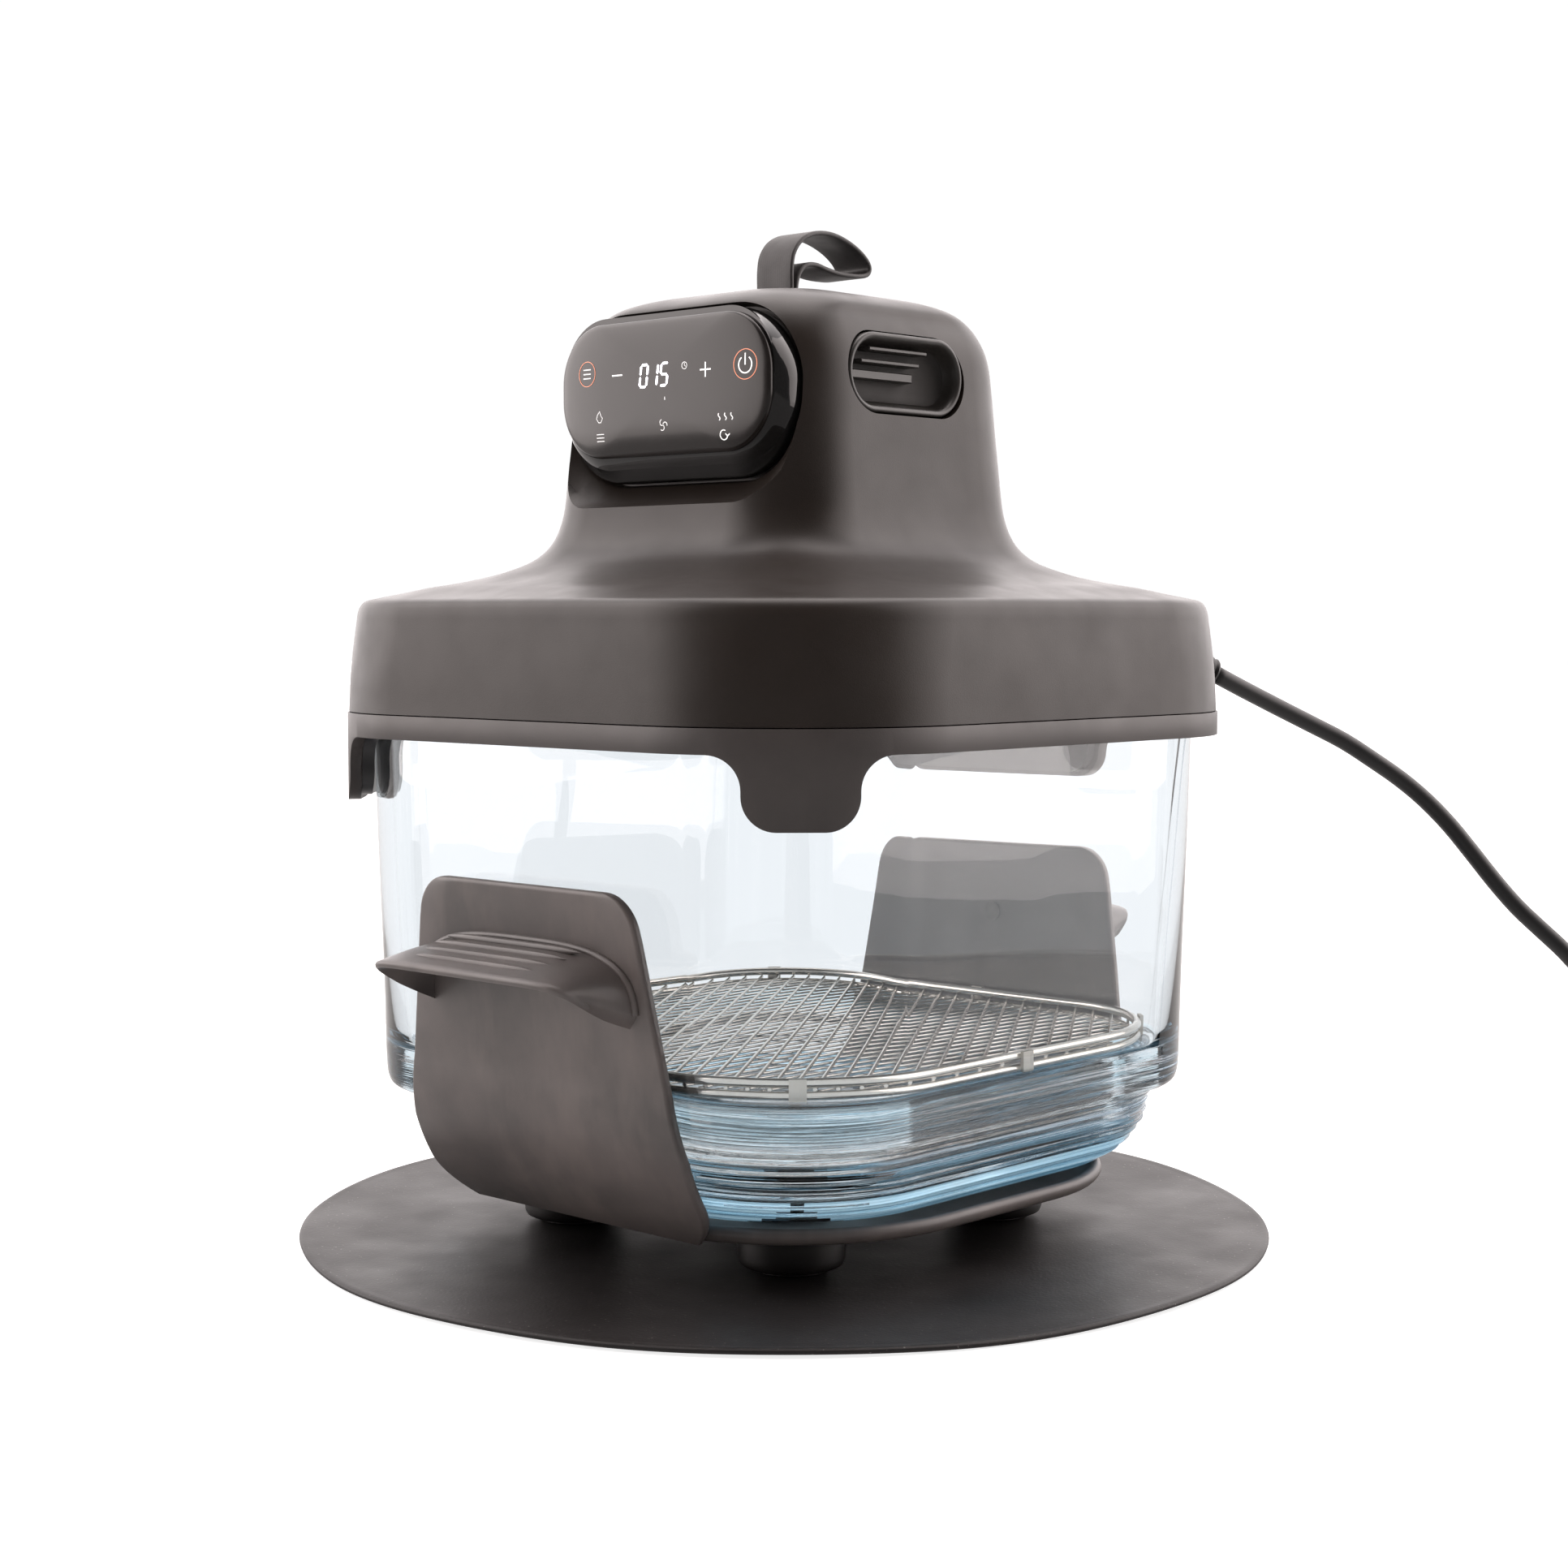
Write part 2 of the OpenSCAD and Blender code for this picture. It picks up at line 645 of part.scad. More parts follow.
module fan_nut() {
    color("silver") difference() {
        translate([0, 0, 181]) cylinder(h = 5, r = 6, $fn = 6);
        rod(180, 187, shaft_r);
    }
}

bracket_z = 213;

module motor() {
    color("#8b8d90") difference() {
        union() {
            rod(bracket_z + 2, bracket_z + 28, motor_r);
            rod(bracket_z + 28, bracket_z + 33, 11);
        }
        rod(bracket_z, bracket_z + 7, 8);
        rod(bracket_z + 26, bracket_z + 31, 8);
        rod(bracket_z, bracket_z + 40, shaft_r + 0.6);
    }
}

module motor_bearings() {
    color("#a67c3a") for (z = [bracket_z + 2, bracket_z + 26]) difference() {
        rod(z, z + 5, 8);
        rod(z - 1, z + 6, shaft_r + fit);
    }
}

module motor_bracket() {
    color(steel_c) difference() {
        union() {
            translate([-46, -12, bracket_z]) cube([92, 24, 2]);
            for (x = [-38, 38]) translate([x, 0, 0]) rod(chamber_top, bracket_z, 4);
        }
        rod(bracket_z - 1, bracket_z + 3, shaft_r + 1.5);
    }
}

module temperature_sensor() {
    color(steel_c) translate([0, 84, 0]) {
        rod(184, chamber_top, 2);
        rod(chamber_top, chamber_top + 3, 4);
    }
}

module thermal_fuse() {
    color("ivory") translate([-20, 60, chamber_top + 3]) rotate([0, 90, 0]) cylinder(h = 40, r = 3);
}

module head_screws() {
    color(steel_c) at_corners(86) {
        rod(shield_z - 2.4, shield_z, 3.5);
        rod(shield_z, 186, 1.65);
    }
}

// ---------- mains lead ----------

module cord_gland() {
    color(black_c) gland_frame() {
        cylinder(h = gland_l, r1 = 6.4, r2 = 4.6);
        translate([0, 0, -8]) cylinder(h = 8.01, r = 6.4);
    }
}

// Point at t (0 to 1) between b and c of a smooth curve through a, b, c and d
function glide(a, b, c, d, t) = 0.5 * (2 * b + (c - a) * t + (2 * a - 5 * b + 4 * c - d) * t * t
    + (3 * b - a - 3 * c + d) * t * t * t);

function smooth_line(p, parts) = let (last = len(p) - 1) concat(
    [for (i = [0:last - 1]) for (k = [0:parts - 1])
        glide(p[max(i - 1, 0)], p[i], p[i + 1], p[min(i + 2, last)], k / parts)],
    [p[last]]);

// Rings of a round tube along a line that never runs straight up
function tube_rings(line, r, sides) = let (last = len(line) - 1)
    [for (i = [0:last]) let (t = line[min(i + 1, last)] - line[max(i - 1, 0)], u = t / norm(t),
        across = cross(u, [0, 0, 1]) / norm(cross(u, [0, 0, 1])), up = cross(across, u))
        [for (j = [0:sides - 1]) let (a = 360 * j / sides) line[i] + r * (cos(a) * across + sin(a) * up)]];

module power_cord() {
    color(black_c) skin(tube_rings(smooth_line(cord_route, 2), cord_r, 10));
}

coil_h = cord_d * (coil_turns + 1);

module cord_coil() {
    color(black_c) translate([coil_mid[0], coil_mid[1], 0]) rotate_extrude($fn = 96)
        translate([coil_r - cord_r, 0]) square([cord_d, coil_h]);
}

module cord_tie() {
    tie_t = 1;
    color("#222222") translate([coil_mid[0], coil_mid[1], 0]) rotate(45) difference() {
        translate([coil_r - cord_r - tie_t, -3, 0]) cube([cord_d + 2 * tie_t, 6, coil_h + tie_t]);
        translate([coil_r - cord_r, -4, -1]) cube([cord_d, 8, coil_h + 1]);
    }
}

coil_end = coil_start - 360 * coil_turns;

// The plug's frame: X runs away from the coil's last point, along the lead
module plug_frame() {
    translate([coil_mid[0] + coil_r * cos(coil_end), coil_mid[1] + coil_r * sin(coil_end), 0])
        rotate(coil_end - 90) children();
}

module plug_body() {
    color(black_c) plug_frame() {
        translate([14, 0, 9]) rotate([0, 90, 0]) cylinder(h = 18, r1 = 3.6, r2 = 5.5);
        translate([32, -13, 0]) cube([26, 26, 18]);
    }
}

module plug_blades() {
    color("silver") plug_frame() for (s = [-1, 1]) translate([58, s * 6.35 - 0.75, 5.8]) cube([17, 1.5, 6.4]);
}

heat_mat();
cradle();
feet();
foot_pads();
foot_screws();
bowl_pads();
front_grip();
rear_grip();
grip_screws();
glass_bowl();
rack_lower_ring();
rack_upper_ring();
rack_clips();
rack_thick_wires();
rack_fine_wires();
head_shell();
rim_ring();
tab_liners();
bowl_gasket();
heat_shield();
element_guard();
heating_element();
hot_air_fan();
fan_nut();
motor_shaft();
cooling_fan();
motor();
motor_bearings();
motor_bracket();
temperature_sensor();
thermal_fuse();
power_board();
control_board();
control_pod();
display_board();
display_module();
panel_lens();
right_vent();
left_vent();
lift_loop();
loop_anchor();
anchor_screws();
head_screws();
cord_gland();
power_cord();
cord_coil();
cord_tie();
plug_body();
plug_blades();
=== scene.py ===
"""Looks of the glass bowl air fryer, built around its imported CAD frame.

Shapes are worked out in millimetres, and add_mesh turns them into metres.
The front, with the control panel, faces -Y; +Z is up; the mat's underside is at z = 0.
"""
import math

import bmesh
import bpy
from mathutils import Matrix, Vector
from mathutils.bvhtree import BVHTree


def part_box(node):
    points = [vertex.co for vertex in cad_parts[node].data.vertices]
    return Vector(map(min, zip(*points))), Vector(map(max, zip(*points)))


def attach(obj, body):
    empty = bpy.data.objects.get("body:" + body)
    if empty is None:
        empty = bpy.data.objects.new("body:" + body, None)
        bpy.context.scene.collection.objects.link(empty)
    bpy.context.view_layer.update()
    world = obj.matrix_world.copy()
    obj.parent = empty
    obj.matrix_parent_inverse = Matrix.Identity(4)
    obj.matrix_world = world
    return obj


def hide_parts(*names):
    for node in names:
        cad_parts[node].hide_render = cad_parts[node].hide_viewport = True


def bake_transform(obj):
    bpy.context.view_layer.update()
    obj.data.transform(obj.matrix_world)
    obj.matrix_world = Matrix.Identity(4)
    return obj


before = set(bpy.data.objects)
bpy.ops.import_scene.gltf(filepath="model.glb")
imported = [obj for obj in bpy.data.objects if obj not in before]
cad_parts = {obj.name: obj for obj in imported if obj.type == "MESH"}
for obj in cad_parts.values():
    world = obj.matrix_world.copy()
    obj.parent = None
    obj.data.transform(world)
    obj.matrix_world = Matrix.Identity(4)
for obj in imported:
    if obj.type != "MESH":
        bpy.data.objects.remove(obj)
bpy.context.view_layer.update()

MM = 0.001
scene = bpy.context.scene


def low(node):
    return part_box(node)[0] / MM


def high(node):
    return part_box(node)[1] / MM


# ---------- driving sizes, from the frame ----------
MAT_R = high("heat_mat").x
MAT_T = high("heat_mat").z
BOWL_TOP = high("glass_bowl").z
PLATE_TOP = high("cradle").z
HEAD_HALF = high("head_shell").x
SEAM_Z = low("head_shell").z
RING_Z = BOWL_TOP - 2
RING_HALF = high("rim_ring").x
VENT_MID = (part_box("right_vent")[0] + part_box("right_vent")[1]) / (2 * MM)
VENT_FACE = high("right_vent").x


# ---------- camera ----------
CAMERA_AZIMUTH = 43.1
CAMERA_DISTANCE = 0.860
CAMERA_HEIGHT = 0.205
CAMERA_DOWN = 3.74
CAMERA_LENS = 58.94
SENSOR = 36.0


def make_camera():
    data = bpy.data.cameras.new("camera")
    data.lens = CAMERA_LENS
    data.sensor_width = SENSOR
    data.clip_start = 0.01
    data.clip_end = 60
    camera = bpy.data.objects.new("camera", data)
    scene.collection.objects.link(camera)
    turn = math.radians(CAMERA_AZIMUTH)
    camera.location = (
        CAMERA_DISTANCE * math.sin(turn),
        -CAMERA_DISTANCE * math.cos(turn),
        CAMERA_HEIGHT,
    )
    camera.rotation_euler = (math.radians(90 - CAMERA_DOWN), 0, turn)
    scene.camera = camera


# ---------- shapes ----------
def glide(a, b, c, d, t):
    """Point at t between b and c of the smooth curve through a, b, c and d."""
    return 0.5 * (
        2 * b + (c - a) * t + (2 * a - 5 * b + 4 * c - d) * t * t + (3 * b - a - 3 * c + d) * t**3
    )


def smooth(points, parts):
    """A smooth curve through points of any dimension, with parts steps between each two."""
    last = len(points) - 1
    line = []
    for i in range(last):
        around = [points[max(i - 1, 0)], points[i], points[i + 1], points[min(i + 2, last)]]
        for k in range(parts):
            line.append(tuple(glide(*values, k / parts) for values in zip(*around)))
    line.append(tuple(float(value) for value in points[last]))
    return line


def rounded(w, h, r, steps=20, flat=8):
    """Outline of a rounded rectangle, counter-clockwise, with flat points along each straight side."""
    corners = []
    for q in range(4):
        sx = 1 if q in (0, 3) else -1
        sy = 1 if q < 2 else -1
        arc = []
        for k in range(steps):
            angle = math.radians(90 * q + 90 * k / (steps - 1))
            arc.append((sx * (w - r) + r * math.cos(angle), sy * (h - r) + r * math.sin(angle)))
        corners.append(arc)
    outline = []
    for q, arc in enumerate(corners):
        outline += arc
        x0, y0 = arc[-1]
        x1, y1 = corners[(q + 1) % 4][0]
        for k in range(1, flat + 1):
            t = k / (flat + 1)
            outline.append((x0 + (x1 - x0) * t, y0 + (y1 - y0) * t))
    return outline


def level(half, r, z):
    return [(x, y, z) for x, y in rounded(half, half, r)]


def upright(w, h, r, middle_z, distance):
    return [(x, -distance, middle_z + y) for x, y in rounded(w, h, r)]


def add_mesh(name, verts, faces):
    mesh = bpy.data.meshes.new(name)
    mesh.from_pydata([tuple(value * MM for value in v) for v in verts], [], faces)
    bm = bmesh.new()
    bm.from_mesh(mesh)
    bmesh.ops.remove_doubles(bm, verts=bm.verts, dist=1e-6)
    bmesh.ops.dissolve_degenerate(bm, dist=1e-7, edges=bm.edges)
    bmesh.ops.recalc_face_normals(bm, faces=bm.faces)
    bm.to_mesh(mesh)
    bm.free()
    obj = bpy.data.objects.new(name, mesh)
    scene.collection.objects.link(obj)
    return obj


def loft_parts(rings, ends=True, round_trip=False):
    """Vertices and faces through rings of equal length."""
    n = len(rings[0])
    verts = [p for ring in rings for p in ring]
    faces = []
    rows = len(rings) if round_trip else len(rings) - 1
    for i in range(rows):
        here, there = i * n, (i + 1) % len(rings) * n
        for j in range(n):
            k = (j + 1) % n
            faces.append((here + j, there + j, there + k, here + k))
    if ends and not round_trip:
        faces.append(tuple(range(n)))
        faces.append(tuple(range(len(verts) - n, len(verts)))[::-1])
    return verts, faces


def loft(name, rings, ends=True, round_trip=False):
    return add_mesh(name, *loft_parts(rings, ends, round_trip))


def joined(name, parts):
    """One mesh out of several (vertices, faces) pairs."""
    verts, faces = [], []
    for part_verts, part_faces in parts:
        start = len(verts)
        verts += list(part_verts)
        faces += [tuple(start + i for i in face) for face in part_faces]
    return add_mesh(name, verts, faces)


def lathe_parts(profile, centre=(0, 0), steps=64):
    """A turned solid from (radius, height) points, closed at both ends on its axis."""
    rings = []
    for k in range(steps):
        angle = 2 * math.pi * k / steps
        rings.append(
            [(centre[0] + r * math.cos(angle), centre[1] + r * math.sin(angle), z) for r, z in profile]
        )
    n = len(profile)
    verts = [p for ring in rings for p in ring]
    faces = []
    for k in range(steps):
        here, there = k * n, (k + 1) % steps * n
        for j in range(n - 1):
            faces.append((here + j, there + j, there + j + 1, here + j + 1))
    faces.append(tuple(k * n for k in range(steps)))
    faces.append(tuple(k * n + n - 1 for k in range(steps))[::-1])
    return verts, faces


def swept_parts(line, section):
    """A section of (across, up) points carried along a line of points, kept upright as far as it can be."""
    rings = []
    points = [Vector(p) for p in line]
    last = len(points) - 1
    up = None
    for i, p in enumerate(points):
        along = (points[min(i + 1, last)] - points[max(i - 1, 0)]).normalized()
        if up is None:
            start = Vector((0, 0, 1)) if abs(along.z) < 0.9 else Vector((1, 0, 0))
            up = (start - along * start.dot(along)).normalized()
        else:
            up = (up - along * up.dot(along)).normalized()
        across = along.cross(up)
        rings.append([tuple(p + across * a + up * b) for a, b in section])
    return loft_parts(rings)


def circle_section(r, sides):
    turns = [2 * math.pi * k / sides for k in range(sides)]
    return [(r * math.cos(a), r * math.sin(a)) for a in turns]


def cut(obj, cutter):
    """Takes cutter away from obj and removes it."""
    change = obj.modifiers.new("cut", "BOOLEAN")
    change.operation = "DIFFERENCE"
    change.solver = "EXACT"
    change.object = cutter
    bpy.context.view_layer.update()
    result = bpy.data.meshes.new_from_object(obj.evaluated_get(bpy.context.evaluated_depsgraph_get()))
    obj.modifiers.clear()
    obj.data = result
    bpy.data.objects.remove(cutter)


def round_edges(obj, width, over=40, segments=2):
    """Rounds every edge that is sharper than over degrees."""
    bm = bmesh.new()
    bm.from_mesh(obj.data)
    sharp = [e for e in bm.edges if e.is_manifold and e.calc_face_angle(0) > math.radians(over)]
    bmesh.ops.bevel(
        bm, geom=sharp, offset=width * MM, segments=segments, profile=0.5, affect="EDGES",
        clamp_overlap=True,
    )
    bm.to_mesh(obj.data)
    bm.free()


def place(obj, body, material, nodes=(), smooth_under=32):
    """Shades a piece, sets its finish and puts it on its body in place of the CAD nodes it stands for."""
    obj.data.shade_smooth()
    obj.data.set_sharp_from_angle(angle=math.radians(smooth_under))
    obj.data.materials.clear()
    obj.data.materials.append(material)
    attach(obj, body)
    if nodes:
        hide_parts(*nodes)
    return obj


# ---------- materials ----------
def add_node(tree, kind, **inputs):
    """A new shader node of a kind, with constants on the inputs that are named."""
    node = tree.nodes.new("ShaderNode" + kind)
    for name, value in inputs.items():
        node.inputs[name.replace("_", " ")].default_value = value
    return node


def by_ray(tree, surface, shown_by_ray):
    """The surface, with other shaders in its place for some kinds of ray."""
    path = add_node(tree, "LightPath")
    for ray, shown in shown_by_ray:
        mix = add_node(tree, "MixShader")
        tree.links.new(path.outputs[ray], mix.inputs["Fac"])
        tree.links.new(surface, mix.inputs[1])
        tree.links.new(shown, mix.inputs[2])
        surface = mix.outputs["Shader"]
    return surface


def towards_camera(tree, direction):
    """How far a direction points to the side that the main camera stands on; fixed in the world."""
    node = add_node(tree, "VectorMath")
    node.operation = "DOT_PRODUCT"
    turn = math.radians(CAMERA_AZIMUTH)
    node.inputs[1].default_value = (math.sin(turn), -math.cos(turn), 0)
    tree.links.new(direction, node.inputs[0])
    return node.outputs["Value"]


class Finish:
    """A material with helpers for its nodes. Coordinates are the object's own, in metres."""

    def __init__(self, name, colour, roughness, **sockets):
        self.material = bpy.data.materials.new(name)
        self.material.use_nodes = True
        self.tree = self.material.node_tree
        self.shader = self.tree.nodes["Principled BSDF"]
        self.output = self.tree.nodes["Material Output"]
        self.shader.inputs["Base Color"].default_value = (*colour, 1)
        self.shader.inputs["Roughness"].default_value = roughness
        for socket, value in sockets.items():
            self.shader.inputs[socket.replace("_", " ")].default_value = value
        self.colour = colour
        self.roughness = roughness
        self.where = add_node(self.tree, "TexCoord").outputs["Object"]

    def link(self, source, target):
        self.tree.links.new(source, target)

    def stretched(self, scale):
        """Coordinates scaled differently along X, Y and Z."""
        node = add_node(self.tree, "Mapping", Scale=scale)
        self.link(self.where, node.inputs["Vector"])
        return node.outputs["Vector"]

    def noise(self, scale, detail=3, rough=0.5, vector=None):
        node = add_node(self.tree, "TexNoise", Scale=scale, Detail=detail, Roughness=rough)
        self.link(vector or self.where, node.inputs["Vector"])
        return node.outputs["Fac"]

    def spread(self, value, low_in, high_in, low_out, high_out):
        ends = {"From_Min": low_in, "From_Max": high_in, "To_Min": low_out, "To_Max": high_out}
        node = add_node(self.tree, "MapRange", **ends)
        self.link(value, node.inputs["Value"])
        return node.outputs["Result"]

    def blend(self, amount, first, second):
        """Mixes two colours, each a tuple or a socket."""
        node = add_node(self.tree, "Mix")
        node.data_type = "RGBA"
        self.link(amount, node.inputs["Factor"])
        for value, socket in ((first, node.inputs[6]), (second, node.inputs[7])):
            if isinstance(value, tuple):
                socket.default_value = (*value, 1)
            else:
                self.link(value, socket)
        return node.outputs[2]

    def tones(self, amount, darker, lighter):
        """The base colour between two shares of itself."""
        dark = tuple(c * darker for c in self.colour)
        light = tuple(min(c * lighter, 1) for c in self.colour)
        return self.blend(amount, dark, light)

    def paint(self, colour):
        self.link(colour, self.shader.inputs["Base Color"])
        return self

    def wear(self, value, spread):
        """Roughness that follows a 0 to 1 value, spread to both sides of the base roughness."""
        changed = self.spread(value, 0.25, 0.75, self.roughness - spread, self.roughness + spread)
        self.link(changed, self.shader.inputs["Roughness"])
        return self

    def bump(self, value, depth, strength=1.0):
        """Relief of the given depth in millimetres, on top of any that is there."""
        node = add_node(self.tree, "Bump", Strength=strength, Distance=depth * MM)
        self.link(value, node.inputs["Height"])
        before = self.shader.inputs["Normal"].links
        if before:
            self.link(before[0].from_socket, node.inputs["Normal"])
        self.link(node.outputs["Normal"], self.shader.inputs["Normal"])
        return self


def moulded(name, colour, roughness, blotch=0.12, grain=0.025, **sockets):
    """Moulded plastic or silicone: soft blotches, a fine spark-eroded grain and slightly uneven gloss."""
    f = Finish(name, colour, roughness, **sockets)
    clouds = f.noise(28, 4, 0.55)
    f.paint(f.tones(f.spread(clouds, 0.3, 0.7, 0, 1), 1 - blotch, 1 + blotch))
    f.wear(f.noise(60, 3), 0.05)
    f.bump(f.noise(2600, 2, 0.6), grain)
    return f


def handled(name, colour, roughness):
    """Soft-touch plastic that has been handled: paler rubbed clouds and faint smears."""
    f = Finish(name, colour, roughness)
    clouds = f.spread(f.noise(22, 5, 0.6), 0.38, 0.72, 0, 1)
    smears = f.spread(f.noise(35, 4, 0.7, f.stretched((1, 1, 0.35))), 0.5, 0.8, 0, 0.7)
    rubbed = tuple(c * s for c, s in zip(colour, (1.7, 1.62, 1.58)))
    first = f.blend(clouds, colour, rubbed)
    f.paint(f.blend(smears, first, tuple(c * s for c, s in zip(colour, (2.2, 2.05, 1.95)))))
    f.wear(f.noise(45, 4), 0.08)
    f.bump(f.noise(1900, 2, 0.6), 0.02)
    return f


def wire_steel():
    f = Finish("wire_steel", (0.66, 0.635, 0.59), 0.2, Metallic=1.0)
    f.paint(f.tones(f.noise(90, 3), 0.85, 1.15))
    f.wear(f.noise(400, 3), 0.07)
    f.bump(f.noise(1200, 2), 0.01)
    return f


def sheet_metal(name, colour, roughness):
    f = Finish(name, colour, roughness, Metallic=1.0)
    brushed = f.noise(90, 3, 0.6, f.stretched((1, 14, 1)))
    f.paint(f.tones(brushed, 0.9, 1.08))
    f.wear(brushed, 0.1)
    f.bump(brushed, 0.01)
    return f


def scorched_sheath():
    f = Finish("scorched_sheath", (0.13, 0.105, 0.09), 0.42, Metallic=0.8)
    f.paint(f.blend(f.spread(f.noise(40, 4), 0.4, 0.7, 0, 1), f.colour, (0.2, 0.13, 0.12)))
    f.wear(f.noise(120, 3), 0.12)
    f.bump(f.noise(900, 3), 0.03)
    return f


def clear_glass():
    """Clear walls; the foot below the rack is streaky, pale blue at its bottom and under the ledge."""
    sockets = {"IOR": 1.47, "Specular_IOR_Level": 0.38, "Transmission_Weight": 1.0}
    f = Finish("clear_glass", (1.0, 1.0, 1.0), 0.0, **sockets)
    height = add_node(f.tree, "SeparateXYZ")
    f.link(f.where, height.inputs["Vector"])
    bands = f.noise(9, 2, 0.6, f.stretched((0.2, 0.2, 30)))
    ramp = add_node(f.tree, "ValToRGB")
    tints = (
        (0.0, (0.5, 0.8, 0.97)), (0.17, (0.55, 0.83, 0.97)), (0.24, (1.0, 1.0, 1.0)),
        (0.6, (1.0, 1.0, 1.0)), (0.68, (0.78, 0.92, 0.98)), (0.78, (0.8, 0.93, 0.98)),
        (0.86, (1.0, 1.0, 1.0)),
    )
    stops = ramp.color_ramp.elements
    while len(stops) < len(tints):
        stops.new(0.5)
    for stop, (at, tint) in zip(stops, tints):
        stop.position = at
        stop.color = (*tint, 1)
    f.link(f.spread(height.outputs["Z"], 0.022, 0.072, 0, 1), ramp.inputs["Fac"])
    foot = f.spread(height.outputs["Z"], 0.058, 0.064, 1, 0)
    clouded = f.blend(f.spread(bands, 0.45, 0.62, 0, 1), (1.0, 1.0, 1.0), ramp.outputs["Color"])
    f.paint(f.blend(foot, clouded, ramp.outputs["Color"]))
    f.bump(f.noise(16, 2, 0.4), 0.1, 0.3)
    streaks = add_node(f.tree, "Math")
    streaks.operation = "MULTIPLY"
    f.link(f.noise(10, 3, 0.55, f.stretched((0.35, 0.35, 36))), streaks.inputs[0])
    f.link(foot, streaks.inputs[1])
    f.bump(streaks.outputs["Value"], 1.1, 1.0)
    absorb = add_node(f.tree, "VolumeAbsorption", Color=(0.3, 0.62, 0.78, 1), Density=1.2)
    f.link(absorb.outputs["Volume"], f.output.inputs["Volume"])
    return f


def glass_sole_painted_glow():
    """The lowest part of the foot: paler and a little milky, with a painted glow in its bands for the light
    that gathers there.
    """
    sockets = {"IOR": 1.47, "Transmission_Weight": 0.68, "Emission_Strength": 0.42}
    f = Finish("glass_sole_painted_glow", (0.5, 0.74, 0.88), 0.04, **sockets)
    bands = f.noise(12, 2, 0.5, f.stretched((0.25, 0.25, 50)))
    f.paint(f.blend(f.spread(bands, 0.4, 0.62, 0, 1), (0.28, 0.5, 0.64), (0.62, 0.86, 0.98)))
    f.bump(bands, 0.4, 0.8)
    # Painted glow: emission in the bands stands in for light gathering in the glass foot.
    painted_glow = f.blend(f.spread(bands, 0.42, 0.6, 0, 1), (0.05, 0.16, 0.25), (0.42, 0.68, 0.86))
    f.link(painted_glow, f.shader.inputs["Emission Color"])
    return f


def mat_rubber():
    """Dark heat mat: a faint woven grain, dusty specks and cloudy patches."""
    f = Finish("mat_rubber", (0.0066, 0.0054, 0.0055), 0.52, Specular_IOR_Level=0.34)
    clouds = f.blend(f.spread(f.noise(14, 5, 0.6), 0.35, 0.7, 0, 1), f.colour, (0.013, 0.011, 0.011))
    specks = f.spread(f.noise(1100, 0, 0.5), 0.80, 0.84, 0, 0.75)
    f.paint(f.blend(specks, clouds, (0.13, 0.12, 0.115)))
    f.wear(f.noise(30, 4), 0.08)
    weave = add_node(f.tree, "TexVoronoi", Scale=900)
    f.link(f.where, weave.inputs["Vector"])
    f.bump(weave.outputs["Distance"], 0.05, 0.6)
    f.bump(f.noise(700, 3, 0.7), 0.05, 0.7)
    return f


def glossy(name, colour, roughness=0.06, coat=0.15, **sockets):
    """Piano-black moulding: almost flat gloss with faint ripple and handling marks."""
    f = Finish(name, colour, roughness, Coat_Weight=coat, Coat_Roughness=0.03, **sockets)
    f.wear(f.spread(f.noise(50, 5, 0.7), 0.45, 0.8, 0.3, 1), 0.03)
    f.paint(f.tones(f.noise(30), 0.85, 1.1))
    f.bump(f.noise(25, 1), 0.02, 0.4)
    return f


def strap_rubber():
    f = Finish("strap_rubber", (0.028, 0.026, 0.026), 0.55)
    f.paint(f.tones(f.spread(f.noise(60, 4), 0.3, 0.7, 0, 1), 0.8, 1.35))
    f.wear(f.noise(110, 3), 0.08)
    ribs = add_node(f.tree, "TexWave", Scale=320, Distortion=1.5)
    f.link(f.where, ribs.inputs["Vector"])
    f.bump(ribs.outputs["Fac"], 0.03, 0.5)
    f.bump(f.noise(1500, 2), 0.03)
    return f


def circuit_board():
    f = Finish("circuit_board", (0.02, 0.12, 0.05), 0.35)
    colours = {"Color1": (*f.colour, 1), "Color2": (0.03, 0.16, 0.07, 1), "Mortar": (0.3, 0.24, 0.08, 1)}
    traces = add_node(f.tree, "TexBrick", Scale=160, **colours)
    f.link(f.where, traces.inputs["Vector"])
    f.paint(traces.outputs["Color"])
    f.wear(f.noise(90), 0.08)
    return f


def lit(name, colour, strength):
    """A lit symbol behind the panel, a little uneven, as light through a diffuser is."""
    f = Finish(name, colour, 0.4, Emission_Strength=strength)
    uneven = f.spread(f.noise(500, 2), 0.3, 0.7, 0, 1)
    f.link(f.tones(uneven, 0.85, 1), f.shader.inputs["Emission Color"])
    return f


def studio_floor():
    """White floor, a little dimmer through glass and, on the camera's side, in glossy reflections."""
    f = Finish("studio_floor", (0.5, 0.5, 0.5), 0.9, Emission_Color=(1, 1, 1, 1), Emission_Strength=0.8)
    through = add_node(f.tree, "Emission", Color=(0.885, 0.93, 0.97, 1))
    mirrored_floor = add_node(f.tree, "Emission", Color=(1, 0.94, 0.92, 1))
    strength = f.spread(towards_camera(f.tree, f.where), -0.3, 0.35, 1.1, 0.3)
    f.link(strength, mirrored_floor.inputs["Strength"])
    shown = (
        ("Is Glossy Ray", mirrored_floor.outputs["Emission"]),
        ("Is Transmission Ray", through.outputs["Emission"]),
    )
    f.link(by_ray(f.tree, f.shader.outputs["BSDF"], shown), f.output.inputs["Surface"])
    return f


